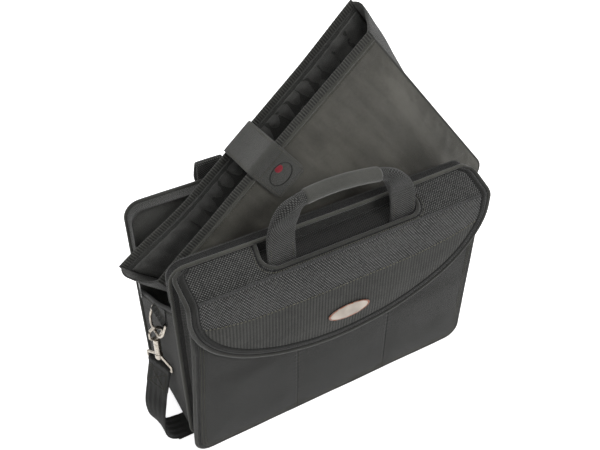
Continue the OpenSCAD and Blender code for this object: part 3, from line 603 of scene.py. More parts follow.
def pocket_finish():
    """Fine smooth nylon, puckered along its two sewn divisions, with painted shade in their
    grooves.
    """
    paint = Paint("pocket_nylon")
    x, z = paint.along((1, 0, 0)), paint.along((0, 0, 1))
    height = weave("plain", x, z, 1.1)
    fine, broad = paint.noise(3.5, 3), paint.noise(90, 2).above(0.3, 0.7)
    off_seam = (x.size() - POCKET_SEAM).size()
    groove = off_seam.above(0.3, 1.9)
    pucker = ((z * 0.9).sine() * 0.5 + 0.5) * (1 - off_seam.above(1, 9))
    # painted shade: the tone drops in the grooves and rises and falls with the puckers
    tone = height * 0.4 + fine * 0.35 + broad * 0.12 + pucker * 0.06 + groove * 0.5 - 0.35
    paint.feed("Base Color", paint.mix(tone.above(0.0, 1.1), colour("#131312"), colour("#343432")))
    paint.feed("Roughness", fine * 0.2 + 0.68)
    paint.set(Sheen_Weight=0.22, Sheen_Roughness=SHEEN_SPREAD, Specular_IOR_Level=CLOTH_GLOSS)
    paint.bump(height * 0.7 + groove * 3 + pucker + paint.noise(20, 2) * 0.8, 0.25)
    return paint.material


body_cloth = pocket_finish()
print(f"{body_cloth.name}: {len(body_cloth.node_tree.nodes)} nodes")

# %% [markdown]
# ## Metal, plastic and hook-and-loop
# The hooks are nickel-plated castings with fine handling marks, the adjuster is moulded
# plastic with a grain, and hook-and-loop tape is a stiff pile. Each is one noise of the
# right size that drives colour, roughness and bump together, so that a scratch is duller
# as well as darker.

# %% Metal, plastic and hook-and-loop
def metal(name, shade, rough=0.2, dull="#8e8d8a"):
    paint = Paint(name)
    marks = paint.noise(3, 5, 0.7)
    paint.feed("Base Color", paint.mix(marks.above(0.35, 0.8), colour(shade), colour(dull)))
    paint.feed("Roughness", marks * 0.22 + rough)
    paint.set(Metallic=1.0)
    paint.bump(paint.noise(1.2, 3), 0.02)
    return paint.material


def plastic(name, dark, light, rough=0.42):
    paint = Paint(name)
    grain = paint.noise(1.1, 4)
    paint.feed("Base Color", paint.mix(grain.above(0.3, 0.8), colour(dark), colour(light)))
    paint.feed("Roughness", grain * 0.2 + rough)
    paint.bump(grain, 0.06)
    return paint.material


def fuzz(name, dark, light):
    """Hook-and-loop tape: short stiff pile."""
    paint = Paint(name)
    pile = paint.noise(0.9, 5, 0.75)
    paint.feed("Base Color", paint.mix(pile.above(0.3, 0.75), colour(dark), colour(light)))
    paint.set(Roughness=0.95, Sheen_Weight=0.5, Sheen_Roughness=0.3)
    paint.bump(pile, 0.6)
    return paint.material

# %% [markdown]
# ## The finishes
# One line for each cloth on the bag. The two colours are the thread in shade and in light,
# and the pitch is the thread spacing in millimetres. `axes`
# lays the weave flat on a face, and without it the weave follows the piece's own UVs.

# %% The finishes
FLAT_X = ((1, 0, 0), (0, 0, 1))
THREAD_AXES = ((1, 1, 1), (1, 0, -1))
side_cloth = fabric("side_nylon", "#1a1a19", "#32322f", 1.2, speck=0.06, bright="#4c4c48",
                    blotch=0.2, crease=0.25)
panel_cloth = fabric("panel_nylon", "#191918", "#31312f", 1.2, axes=FLAT_X, speck=0.05,
                     bright="#4c4c48", crease=0.25)
top_cloth = fabric("woven_top", "#121212", "#383836", 1.6, "lattice", depth=0.5, crease=0.2)
leg_cloth = fabric("handle_webbing", "#111110", "#666664", 1.6, "lattice", depth=0.5, crease=0.3)
lining_cloth = fabric("lining_nylon", "#161616", "#2c2c2b", 0.8, rough=0.7, sheen=0.1)
web_cloth = fabric("webbing", "#171716", "#383836", 1.0, "webbing", depth=0.4, speck=0.08)
strap_cloth = fabric("strap_webbing", "#161615", "#30302e", 1.1, "webbing", depth=0.4, crease=0.3)
bind_cloth = fabric("binding_tape", "#161615", "#343432", 0.9, "rib", depth=0.3)
pipe_cloth = fabric("piping_cloth", "#222221", "#4e4e4a", 0.9, "twill", depth=0.15, sheen=0.35)
pipe_light = fabric("piping_light", "#333330", "#5e5e58", 0.9, "twill", depth=0.15, sheen=0.35)
rib_tape = fabric("ribbed_tape", "#242423", "#51514d", 3.4, "bars", depth=0.5, blotch=0.2,
                  crease=0.1)
zip_cloth = fabric("zip_tape", "#1e1e1d", "#454542", 0.7, "rib", rough=0.75)
zip_dark = fabric("zip_tape_dark", "#0d0d0d", "#20201f", 0.7, "rib", rough=0.8, sheen=0.1)
pad_cloth = fabric("air_cell_lining", "#2e2e2d", "#666663", 0.8, rough=0.6, sheen=0.2)
# painted light: a paler copy of the panel cloth for the rear panel's inner faces, which the sleeve
# shades
rear_lining = fabric("rear_lining", "#373735", "#6c6c68", 0.9, axes=FLAT_X, rough=0.7,
                     sheen=0.25, crease=0.4)
thread_light = fabric("thread_light", "#5c5b50", "#9b9885", 0.3, "rib", axes=THREAD_AXES,
                      sheen=0.1)
# dark thread of real stitch rows, also used as painted shade in the grooves of the flap and the
# slot
thread_dark = fabric("thread_dark", "#0e0e0e", "#222221", 0.5, "rib", axes=THREAD_AXES, sheen=0.1)
thread = fabric("thread", "#3c3c34", "#7a786a", 0.3, "rib", axes=THREAD_AXES, sheen=0.1)
wrap_cloth = fabric("handle_wrap", "#383835", "#575753", 0.5, "twill", rough=0.62, sheen=0.3,
                    depth=0.05)
red_cloth = fabric("red_embroidery", "#6d1722", "#c03a4a", 0.6, "rib",
                   axes=((1, 0, 1), (0, 1, 0)))
nickel = metal("polished_nickel", "#b3aca2", 0.16, "#6a645a")
gate_metal = metal("nickel_gate", "#aba499", 0.2, "#6a645b")
zip_metal = metal("zip_alloy", "#5f5f5e", 0.3, "#474746")
tooth_metal = plastic("zip_teeth", "#2c2c2b", "#5c5c5a", 0.35)
black_plastic = plastic("black_plastic", "#171717", "#2a2a2a")
hook_tape = fuzz("hook_and_loop", "#101010", "#2a2a2a")
board_paint = plastic("board_cover", "#191919", "#2c2c2b", 0.7)
print("finishes made:", len(bpy.data.materials))

# %% [markdown]
# ## Fitting a piece
# A finished piece belongs to one moving body of the bag and stands for the CAD solids it
# replaces, or, where it spans two bodies, stays where it is made. Live modifiers are turned
# into plain mesh first. Each fitted piece prints its faces and its size, which shows at once
# when a piece has come out wrong.

# %% Fitting a piece
def dress(obj, slot, *materials):
    obj.data.materials.clear()
    for item in materials:
        obj.data.materials.append(item)
    return obj


def tell(obj):
    """Prints what was made, in millimetres."""
    spans = []
    for axis in range(3):
        values = [v.co[axis] for v in obj.data.vertices]
        spans.append(f"{(max(values) - min(values)) / MM:.0f}")
    print(f"{obj.name}: {len(obj.data.polygons)} faces, {' x '.join(spans)} mm")


def fit(obj, body, slot, materials, *nodes):
    dress(obj, slot, *materials)
    applied(obj)
    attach(obj, body)
    if nodes:
        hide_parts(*nodes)
    tell(obj)
    return obj


def fit_across(obj, bodies, start, end, slot, materials, *nodes):
    """A piece that stays where it is made, on no body; bodies, start and end are not used."""
    dress(obj, slot, *materials)
    applied(obj)
    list(bodies)
    Vector(start) * MM
    Vector(end) * MM
    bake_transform(obj)
    if nodes:
        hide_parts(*nodes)
    tell(obj)
    return obj

# %% [markdown]
# ## Repeats along a path
# Stitches and zip teeth are thousands of small equal shapes. They could be copied in
# Python, but Geometry Nodes say it once: points along a path at an even spacing, an item
# on each, with a size that varies by a seeded random value, then real mesh and a material.
# One group serves every row.

# %% Repeats along a path
def repeat_group():
    group = bpy.data.node_groups.new("repeat_along_path", "GeometryNodeTree")
    sockets = (("Path", "NodeSocketGeometry"), ("Item", "NodeSocketObject"),
               ("Spacing", "NodeSocketFloat"), ("Size Variation", "NodeSocketFloat"),
               ("Seed", "NodeSocketInt"), ("Material", "NodeSocketMaterial"))
    for label, kind in sockets:
        group.interface.new_socket(label, in_out="INPUT", socket_type=kind)
    group.interface.new_socket("Mesh", in_out="OUTPUT", socket_type="NodeSocketGeometry")
    tree = Tree(group)
    given = tree.node("NodeGroupInput")
    curve = tree.node("GeometryNodeMeshToCurve", None, {0: given.out("Path")})
    points = tree.node("GeometryNodeCurveToPoints", {"mode": "LENGTH"},
                       {"Curve": curve, "Length": given.out("Spacing")}, "Points")
    item = tree.node("GeometryNodeObjectInfo", None, {"Object": given.out("Item")}, "Geometry")
    # 2 and 3 are the node's smallest and largest number, and its output 1 is a number.
    vary = tree.node("FunctionNodeRandomValue", None,
                     {2: 1.0 - given.out("Size Variation"), 3: 1.0, "Seed": given.out("Seed")}, 1)
    placed = tree.node("GeometryNodeInstanceOnPoints", None,
                       {"Points": points, "Instance": item, "Rotation": points.out("Rotation"),
                        "Scale": vary})
    real = tree.node("GeometryNodeRealizeInstances", None, {0: placed})
    painted = tree.node("GeometryNodeSetMaterial", None,
                        {"Geometry": real, "Material": given.out("Material")})
    tree.node("NodeGroupOutput", None, {0: painted})
    return group


REPEAT = repeat_group()
SIZE_VARIATION = 0.15
print(f"{REPEAT.name}: {len(REPEAT.nodes)} nodes")

# %% [markdown]
# ## A repeated row
# The paths become loose edges of one mesh, and the modifier's inputs are set by the socket's
# identifier. Then the result is made plain, one mesh for all paths of a row.

# %% A repeated row
def repeat(name, paths, item, spacing, finish, seed=1):
    """A plain mesh of one item repeated along several paths."""
    verts, edges = [], []
    for path in paths:
        start = len(verts)
        verts += [p * MM for p in path]
        edges += [(start + k, start + k + 1) for k in range(len(path) - 1)]
    mesh = bpy.data.meshes.new(name)
    mesh.from_pydata(verts, edges, [])
    obj = add_object(name, mesh)
    mod = obj.modifiers.new("repeat", "NODES")
    mod.node_group = REPEAT
    values = {"Item": item, "Spacing": spacing * MM, "Size Variation": SIZE_VARIATION,
              "Seed": seed, "Material": finish}
    for entry in REPEAT.interface.items_tree:
        if entry.name in values and entry.in_out == "INPUT":
            mod[entry.identifier] = values[entry.name]
    applied(obj)
    return smooth(obj, 60)

# %% [markdown]
# ## Stitch and tooth
# A lockstitch shows as a short plump grain of thread that dips into the cloth at both
# ends, and a zip tooth as a small block with worn edges. Both are seen only as a
# glint, so they have a few dozen faces and no more. The flap's decorative row is sewn in
# thicker thread, so it has its own stitch.

# %% Stitch and tooth
def stitch_item(length=2.5, thick=0.55):
    rings = []
    for k in range(7):
        t = -1 + k / 3
        r = thick * sqrt(max(1 - abs(t) ** 3, 0.04))
        middle_of_ring = Vector((0, 0, t * length / 2))
        rings.append(ring(middle_of_ring, Vector((r, 0, 0)), Vector((0, r, 0)), 2, 6))
    return loft("stitch_item", rings)


def tooth_item():
    rings = [ring(Vector((0, 0, z)), Vector((w, 0, 0)), Vector((0, w, 0)), 4, 8)
             for z, w in ((-0.55, 0.9), (-0.4, 1.25), (0.4, 1.25), (0.55, 0.9))]
    return loft("tooth_item", rings)


STITCH, BOLD, TOOTH = stitch_item(), stitch_item(3.3, 0.8), tooth_item()


def sew(name, body, paths, pitch=3.4, item=STITCH, finish=thread):
    obj = repeat(name, paths, item, pitch, finish)
    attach(obj, body)
    tell(obj)
    return obj

# %% [markdown]
# ## Shoulder strap
# The strap is flat webbing 38 mm wide. A ribbon with a normal that follows the curve would
# twist at every bend, so the route and the direction of the webbing's width are both given
# as points, and a smooth curve runs through each. It goes from the left loop down to the
# floor, under the bag, turns by one flat fold, and comes back beside the right side, low
# over itself, up to the right loop. At the fold the section lies across the corner.

# %% Shoulder strap
LEFT_ROUTE = [(-230, -6, 64), (-233.5, -8, 52), (-238.5, -15, 38), (-240, -23, 24),
              (-236.5, -28.5, 12.5), (-227, -30.8, 5.2), (-212, -31, 2.2), (-190, -31, 1.5)]
LEFT_WIDTHS = [(34, -94, 0), (34, -94, 0), (30, -95, 0), (20, -98, 0),
               (8, -99, 0), (2, -100, 0), (0, -100, 0), (0, -100, 0)]
RIGHT_ROUTE = [(200, -31, 1.5), (210, -31, 1.5), (229, -31, 2.7), (229, -12, 3.9), (229, 16, 1.6),
               (229, 60, 1.5), (229, 104, 1.6), (229.5, 132, 1.9), (230.5, 148, 3.6),
               (232.5, 157, 9), (235.5, 157, 15.5), (238.5, 148, 19), (241, 134, 18),
               (242.5, 116, 13), (243.3, 98, 8), (243.5, 78, 4.9), (243.3, 56, 4.4),
               (242, 36, 5.4), (239.5, 20, 8), (237, 7, 11.5), (235.5, -2, 16), (234, -6, 22),
               (232, -7, 30), (230, -6, 40)]
RIGHT_WIDTHS = ([(0, -100, 0), (0, -100, 0), (-100, -100, 0)] + [(-100, 0, 0)] * 16
                + [(-98, -14, 0), (-92, -40, 0), (-78, -62, 0), (-56, -82, 0), (-34, -94, 0)])
FOLD = len(LEFT_ROUTE) + 2
STRAP_HALF, STRAP_T = 19, 0.9

# %% [markdown]
# ## The strap's webbing
# The curve through the points is computed, and at each step the width is squared to the
# way the strap runs. Its length is measured along the same curve and printed.

# %% The strap's webbing
def make_strap():
    route = [Vector(p) for p in LEFT_ROUTE + RIGHT_ROUTE]
    widths = [Vector(w) for w in LEFT_WIDTHS + RIGHT_WIDTHS]
    path, dirs, fold_at = [], [], 0
    for first, last in ((0, FOLD - 1), (FOLD, len(route) - 1)):
        part = spline(route[first:last + 1], 4)
        turned = spline([w.normalized() for w in widths[first:last + 1]], 4)
        path += part
        dirs += turned
        fold_at = fold_at or len(path)
    rings = []
    for i, p in enumerate(path):
        heading = tangent(path, i, False)
        if i == fold_at:
            wide, out = Vector((-18, -18, 0)), Vector((1, -1, 0)) * 0.65
        else:
            wide = (dirs[i] - heading * dirs[i].dot(heading)).normalized() * STRAP_HALF
            out = heading.cross(wide).normalized() * STRAP_T
        rings.append(ring(p, wide, out, 6, 16))
    strap = loft("shoulder_strap_web", rings)
    fit(strap, "bag", "webbing", [strap_cloth], "shoulder_strap")
    length = sum((b - a).length for a, b in zip(path, path[1:])) * MM
    print(f"the strap's route is {length:.2f} m long")
    path[0] * MM
    [p * MM for p in path]


make_strap()

# %% [markdown]
# ## Padded plates
# A bag panel is foam between two cloths, sewn down all round: flat at the seam, full in the
# middle and drawn in along every sewn line. A subdivided box would round its edges too
# but could not hold the sewn lines, so a plate is lofted row by row from its outline, with
# a crown that falls off towards each seam. The weights of the group "sewn down" say where
# the cloth simulation must hold it.

# %% Padded plates
FAR_OFF = 99


def plate(name, at, w, z0, z1, out, inn, crown, seams=(), r=16, square_top=False, back_crown=1.0,
          columns=44, rumple=0.5, face=-1, falls=40, flat_above=None, pitch=7):
    """at(x, z, out) is the panel's plane; out and inn are its two faces, out along face."""
    rows = [(z0 + r * (1 - cos(a)), w / 2 - r * (1 - sin(a)))
            for a in (pi / 2 * k / 6 for k in range(7))]
    top = [(z1 - (z - z0), half) for z, half in rows[::-1]]
    count = max(4, round((z1 - z0 - 2 * r) / pitch))
    stop = z1 if square_top else z1 - r
    low = rows[-1][0]
    body = [(low + (stop - low) * k / count, w / 2) for k in range(1, count + 1)]
    rows += body if square_top else body[:-1] + top
    rings, held = [], []
    for z, half in rows:
        outer, inner, hold = [], [], []
        for k in range(columns + 1):
            x = -half * cos(pi * k / columns)
            hold.append(1 - ease(min(half - abs(x), z - z0, z1 - z), 1, 16))
            to_top = FAR_OFF if square_top else z1 - z
            edge = max(min(half - abs(x), z - z0, to_top), 0.0)
            full = 1 - (1 - min(edge / falls, 1)) ** 2
            for s in seams:
                full *= 1 - 0.8 * exp(-((x - s) / 7) ** 2)
            if flat_above and z > flat_above:
                full *= 1 - 0.7 * ease(z, flat_above, flat_above + 25)
            p = at(x, z, 0)
            lump = rumple * full * (wave(p, 55, 2) + 0.5 * wave(p, 24, 5))
            outer.append(at(x, z, face * (out + crown * full + lump)))
            inner.append(at(x, z, face * (inn - back_crown * full)))
        rings.append(outer + inner[::-1])
        held += hold + hold[::-1]
    pad = loft(name, rings, sharp=60)
    sewn = pad.vertex_groups.new(name="sewn down")
    for index, weight in enumerate(held):
        sewn.add([index], weight, "REPLACE")
    return pad

# %% [markdown]
# ## Inflating the large pads
# The rear panel and the walls of the sleeve are so large and plain that their slack shows.
# Cloth simulation finds it: pressure from inside, no gravity, the seams pinned, a cloth
# that is cut two hundredths too big. It runs on the plate's own mesh, because a remesh
# would break a shell as thin as this one, and a soft cap keeps each point within a few
# millimetres of its place.

# %% Inflating the large pads
PRESSURE, PUFF_CAP = 3.0, 3.5


def puff(obj, cap, grow=0.02, frames=20):
    """Inflates a pad as cloth, held where it is sewn down, within cap millimetres."""
    start = [v.co.copy() for v in obj.data.vertices]
    cloth = obj.modifiers.new("cloth", "CLOTH")
    cloth.settings.vertex_group_mass = "sewn down"
    cloth.settings.use_pressure = True
    cloth.settings.uniform_pressure_force = PRESSURE
    cloth.settings.shrink_min = -grow
    cloth.settings.quality = 5
    cloth.settings.effector_weights.gravity = 0.0
    cloth.point_cache.frame_start, cloth.point_cache.frame_end = 1, frames
    for number in range(1, frames + 1):
        bpy.context.scene.frame_set(number)
    graph = bpy.context.evaluated_depsgraph_get()
    moved = [v.co.copy() for v in obj.evaluated_get(graph).data.vertices]
    obj.modifiers.clear()
    limit = cap * MM
    for vertex, a, b in zip(obj.data.vertices, start, moved):
        vertex.co = a + (b - a) * (limit / (limit + (b - a).length))
    bpy.context.scene.frame_set(1)
    print(f"{obj.name}: inflated within {cap} mm in {frames} frames")
    return smooth(obj, 60)

# %% [markdown]
# ## Panels and pocket
# Front, middle and rear panel are pads of two layers of nylon over thin foam. The pocket
# lies on the front one, loose above and flat where the flap presses on it, and the
# organiser hangs inside. Each is a plate with its own crown. The rear panel is seen from
# both sides, and its inner faces carry a paler copy of its cloth: painted light, where the
# sleeve shades them.

# %% Panels and pocket
def make_panels():
    panel = plate("front_panel_pad", front, FRONT_W - 7, 3.5, FRONT_H - 3.5, 2.0, -2.0, 0.6,
                  columns=36)
    fit(panel, "bag", "body_fabric", [panel_cloth], "front_panel")
    pocket = plate("front_pocket_pad", front, FRONT_W - 15, 7, 222, 3.6, 2.2, 2.6,
                   seams=(-POCKET_SEAM, POCKET_SEAM), square_top=True, back_crown=0, columns=56,
                   rumple=0.9, flat_above=112)
    fit(pocket, "bag", "body_fabric", [body_cloth], "front_pocket")
    mid = plate("middle_panel_pad", middle, BAG_W - 7, 3.5, BAG_H - 3.5, 2.0, -2.0, 0.8, columns=36)
    fit(mid, "bag", "body_fabric", [panel_cloth], "middle_panel")
    back = plate("rear_panel_pad", rear, BAG_W - 7, 3.5, REAR_H - 3.5, 1.6, -1.8, 1.2, face=1,
                 rumple=0.8, columns=64, pitch=6)
    puff(back, PUFF_CAP)
    fit(back, "bag", "body_fabric", [panel_cloth, rear_lining], "rear_panel")
    # the inner faces take the paler cloth, painted light where the sleeve shades them
    for polygon in back.data.polygons:
        polygon.material_index = 1 if polygon.normal.y < -0.3 else 0
    file_pad = plate("organiser_pad", front, 368, 6, 198, -3, -8.6, 0.2, seams=(-92, 0, 92), r=8,
                     back_crown=0.3)
    fit(file_pad, "bag", "lining", [lining_cloth], "organiser_panel")


make_panels()

# %% [markdown]
# ## Piping
# Every panel edge carries piping, a cord wrapped in cloth and caught in the seam. It is a
# tube along the panel's edge loop, closed on itself so that it has no ends to hide. The
# middle one is lighter and bows forward a little between its corners, where the full flap
# pulls at it.

# %% Piping
def make_piping():
    loops = (("front_piping_cord", front, FRONT_W, FRONT_H, pipe_cloth, "front_piping", 0.0),
             ("middle_piping_cord", middle, BAG_W, BAG_H, pipe_light, "middle_piping", -3.0),
             ("rear_piping_cord", rear, BAG_W, REAR_H, pipe_cloth, "rear_piping", 0.0))
    for name, at, w, h, finish, node, bow in loops:
        path = []
        for x, z, _, _ in edge_loop(w, h, PIPING_R, 5):
            bend = bow * (1 - (2 * x / w) ** 2) if z > h - 30 else 0.0
            path.append(at(x, z, bend + 0.5 * wave((x, 0, z), 60, 7)))
        cord = tube(name, path, PIPING_R, closed=True, count=12)
        fit(cord, "bag", "piping", [finish], node)


make_piping()

# %% [markdown]
# ## Gussets
# A gusset is the band that joins two panels round the sides and the bottom. Extruding the
# outline would give a stiff wall, so each point is worked out from its share of the way
# from one panel to the next: full in the middle, creased by noise, and sagging to the
# floor under the bag. The mouths slope down from the middle panel to the rear, and their
# cut edges are bound with tape. A Solidify modifier then gives the band its thickness,
# with the lining on its inner face.

# %% Gussets
LEFT_MOUTH, RIGHT_MOUTH, REAR_MOUTH = 222, 186, 145


def main_band_point(point, t, thick=0.0):
    """A point on the main band: an outline point and its share of the way back."""
    x, z, nx, nz = point
    tops = LEFT_MOUTH if x < 0 else RIGHT_MOUTH
    if z > PANEL_R:
        mouth = tops + (REAR_MOUTH - tops) * t
        z = PANEL_R + (z - PANEL_R) * (mouth - PANEL_R) / (tops - PANEL_R)
    y = (middle_y(z) + 1.5) * (1 - t) + (rear_y(z) - 1.5) * t
    full = sin(pi * t) ** 0.8
    side = abs(nx)
    swell = 3.0 * full * side * ease(z, 10, 90)
    crease = 1.6 * wave((x, y, z), 46, 3) * full * side
    sag = min(2.9, 3.1 * ease(y, -12, 6) * full ** 0.3) * (1 - side) if z < PANEL_R else 0.0
    out = swell + crease + sag - thick
    return Vector((x + nx * out, y, z + nz * out))


print(f"the left mouth slopes from {LEFT_MOUTH} to {REAR_MOUTH} mm")

# %% [markdown]
# ## Front gusset
# The front section's band is narrow and pulled in between its two cords. Its noise is
# finer than the main band's, because the cloth is held on both sides within 30 mm.

# %% Front gusset
FRONT_TOP = 258


def make_front_gusset():
    outline = under(FRONT_W, INSET, FRONT_TOP, FRONT_TOP, 6)
    rows = []
    for x, z, nx, nz in outline:
        row = []
        for k in range(9):
            t = k / 8
            y = -77 * (1 - t) + (middle_y(z) - 1) * t
            dip = -sin(pi * t) * (3.4 * abs(nx) * ease(z, 8, 60) + 0.8)
            dip += 0.7 * wave((x, y, z), 30, 4) * sin(pi * t)
            height = z + 10 * t * ease(z, 200, FRONT_TOP)
            row.append(Vector((x + nx * dip + belly(x, z) * (1 - t), y, height + nz * dip)))
        rows.append(row)
    band = loft("front_gusset_band", rows, around=False, pivot=(0, -60, 150))
    thicken(band, 2.0, -1)
    fit(band, "bag", "body_fabric", [side_cloth], "front_gusset")


make_front_gusset()

# %% [markdown]
# ## Main gusset
# One band serves the left side, the bottom and the right side, as the real strip of cloth
# does, so it stands for three CAD solids. Its two sloping ends are the bag's mouths.

# %% Main gusset
def make_mouths(outline):
    """Binding and a stitch row along both sloping mouth edges."""
    rims = []
    for s, end in ((-1, outline[0]), (1, outline[-1])):
        path = [main_band_point(end, k / 24, 1.1) + Vector((0, 0, 1.6)) for k in range(25)]
        rings = [ring(p, Vector((2.0, 0, 0)), Vector((0, 1.2, 2.4)), 3, 12) for p in path]
        rims.append(loft(f"mouth_binding_{'left' if s < 0 else 'right'}", rings))
    fit(rims[0], "bag", "binding", [bind_cloth], "mouth_bindings")
    fit(rims[1], "bag", "binding", [bind_cloth])
    sewn = []
    for end in (outline[0], outline[-1]):
        down = (end[0], end[1] - 5, end[2], end[3])
        sewn.append([main_band_point(down, k / 24) + Vector((end[2] * 0.2, 0, 0))
                     for k in range(1, 24)])
    sew("mouth_stitches", "bag", sewn)


def make_main_gusset():
    outline = under(BAG_W, INSET, LEFT_MOUTH, RIGHT_MOUTH, 6)
    rows = [[main_band_point(p, k / 22) for k in range(23)] for p in outline]
    band = loft("main_gusset_band", rows, around=False, pivot=(0, 12, 150))
    thicken(band, 2.2, -1, inner=1)
    fit(band, "bag", "body_fabric", [side_cloth, lining_cloth],
        "main_gusset_left", "main_gusset_right", "base_panel")
    make_mouths(outline)


make_main_gusset()

# %% [markdown]
# ## Top of the front section
# Through the slot in the flap a coarse woven cloth is seen, which closes the front section
# from above. It is a slightly sagging sheet between the front and the middle seam, with
# Solidify for its thickness. A flat quad would have caught the light as one plane.

# %% Top of the front section
def make_front_top():
    """The woven top of the front section, seen through the flap's slot."""
    rows = []
    for i in range(61):
        x = -196 + 392 * i / 60
        row = []
        for k in range(9):
            t = k / 8
            y = -75.8 + 30.6 * t
            z = 259 + (y + 76) * 12 / 32 - 1.2 * sin(pi * t) * (1 + 0.6 * wave((x, y, 0), 40))
            row.append(Vector((x, y, z)))
        rows.append(row)
    top = loft("front_top_cloth", rows, around=False, pivot=(0, -60, 0))
    thicken(top, 1.8, -1)
    fit(top, "bag", "body_fabric", [top_cloth], "front_top")


make_front_top()

# %% [markdown]
# ## Zips
# A zip is a tape sewn inside the mouth with teeth along its free edge, up one side, over
# the top and down the other. The tape is lofted along the panel's outline and ripples a
# little, and the teeth are the tooth item repeated along its edge. The sliders and pullers
# are exact CAD parts already, so they stay.

# %% Zips
def make_zip(name, at, h, near, width, low, node, finish):
    face = 1 if width > 0 else -1
    teeth = near + width - face * 1.5
    outline = over(BAG_W, h, INSET + 0.8, low, low, 5)
    rings = []
    for x, z, nx, nz in outline:
        def point(y, out):
            return at(x + nx * out, z + nz * out, y)
        dip = 0.5 * wave((x, 0, z), 40, 2)
        a, b = near, teeth - face * 1.3
        rings.append([point(a, 0.8), point((a + b) / 2, 0.6 + dip), point(b, 0.8),
                      point(b, -0.6), point((a + b) / 2, -0.8 + dip), point(a, -0.6)])
    tape = loft(name + "_tape", rings, sharp=50)
    fit(tape, "bag", "zip_tape", [finish], node)
    path = [at(x, z, teeth) for x, z, _, _ in outline]
    row = repeat(name + "_teeth", [path], TOOTH, 1.9, tooth_metal)
    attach(row, "bag")


make_zip("rear_zip", rear, REAR_H, -2.0, -16.7, 167, "rear_zip", zip_cloth)
make_zip("middle_zip", middle, BAG_H, 2.0, 13.7, 229, "middle_zip", zip_dark)

# %% [markdown]
# ## Pocket zip
# Under the flap a straight zip closes the front section. Its teeth lie flat on the tape,
# so the repeated row is squashed towards the panel, about its own line, before it is
# fitted.

# %% Pocket zip
ZIP_Z, TEETH_Y = 238, -82.1


def make_pocket_zip():
    rings = [ring(Vector((x, -80.75, ZIP_Z + 0.3 * wave((x, 0, 0), 30))),
                  Vector((0, 0.45, 0)), Vector((0, 0, 10)), 6, 12) for x in range(-170, 171, 5)]
    fit(loft("pocket_zip_tape", rings), "bag", "zip_tape", [zip_cloth], "pocket_zip")
    line = [Vector((-165, TEETH_Y, ZIP_Z)), Vector((165, TEETH_Y, ZIP_Z))]
    row = repeat("pocket_zip_teeth", [line], TOOTH, 1.9, tooth_metal)
    middle_of_row = Vector((0, TEETH_Y, ZIP_Z)) * MM
    row.data.transform(Matrix.Translation(middle_of_row) @ Matrix.Diagonal((1, 0.72, 0.95, 1))
                       @ Matrix.Translation(-middle_of_row))
    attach(row, "bag")


make_pocket_zip()

# %% [markdown]
# ## Shape of the flap
# The flap is one sheet: a strip from the middle seam to the fold, then the panel that
# hangs down the front and ends in half an ellipse. Modelling it flat and bending it would
# need a second tool, so `flap_point` gives every point from two numbers, x across and s
# along the sheet from its seam. The fold is a quadratic curve between two straight runs,
# and soft noise makes the sheet full in the middle, as padding does.

# %% Shape of the flap
FLAP_HALF, FOLD_Z, FLAP_Y = 207, 268, -87.5
FLAP_SIDE, FLAP_CURVE = 22, 126
STRIP_Y, STRIP_Z = -45.3, 283.0
STRIP_L = sqrt((STRIP_Y - FLAP_Y) ** 2 + (STRIP_Z - FOLD_Z) ** 2)
ROUND = 7.0
SLOT_HALF, SLOT_R, SLOT_EDGE = 108, 18, STRIP_L - 7.5


def flap_low(x):
    """Height of the flap's lower edge at x."""
    return FOLD_Z - FLAP_SIDE - FLAP_CURVE * sqrt(max(1 - (x / FLAP_HALF) ** 2, 0.0))


def flap_point(x, s, lift=0.0):
    """A point on the flap, s from the middle seam along the sheet, lifted off it."""
    if s < 13:
        x *= 1 - 0.05 * (1 - sqrt(1 - (1 - s / 13) ** 2))
    to_seam = Vector((0, STRIP_Y - FLAP_Y, STRIP_Z - FOLD_Z)).normalized()
    fold, down = Vector((x, FLAP_Y, FOLD_Z)), Vector((0, 0, -1))
    if s < STRIP_L - ROUND:
        p, n = fold + to_seam * (STRIP_L - s), Vector((0, -to_seam.z, to_seam.y))
    elif s > STRIP_L + ROUND:
        p, n = fold + down * (s - STRIP_L), Vector((0, -1, 0))
    else:
        t = (s - STRIP_L + ROUND) / (2 * ROUND)
        a, b = fold + to_seam * ROUND, fold + down * ROUND
        p = a * (1 - t) ** 2 + fold * 2 * t * (1 - t) + b * t * t
        way = (fold - a) * (1 - t) + (b - fold) * t
        n = Vector((0, way.z, -way.y)).normalized()
        n = n if n.z - n.y > 0 else -n
    drop = s - STRIP_L
    reach = max(FOLD_Z - flap_low(x), 1)
    full = 0
    if abs(x) < FLAP_HALF:
        full = ease(drop, 0, 30) * (1 - ease(drop, reach - 40, reach))
        full *= (1 - (x / FLAP_HALF) ** 2) ** 0.5
    puffed = 2.0 * full + 0.9 * wave(p, 75, 9) * ease(drop, 5, 40)
    puffed += 0.35 * wave(p, 28, 4) * ease(drop, 0, 30)
    return p + n * (lift + max(puffed, -0.6))

# %% [markdown]
# ## Outline of the flap
# The edge cord, the tape and the stitch rows all follow the flap's edge at their own
# distance from it, so the outline is a function of that inset.

# %% Outline of the flap
def flap_outline(inset, parts=120):
    """Points (x, s) along the flap's edge, from the left seam round to the right one."""
    half = FLAP_HALF - inset
    straight_end = STRIP_L + FLAP_SIDE
    left = [(-half, STRIP_L * k / 8) for k in range(8)]
    left += [(-half, STRIP_L + FLAP_SIDE * k / 5) for k in range(5)]
    deep = FLAP_CURVE - inset
    curve = [(-half * cos(pi * k / parts), straight_end + deep * sin(pi * k / parts))
             for k in range(parts + 1)]
    return left + curve + [(-x, s) for x, s in left[::-1]]


print(f"the flap's strip is {STRIP_L:.1f} mm long")
print("points along the flap edge:", len(flap_outline(0)))

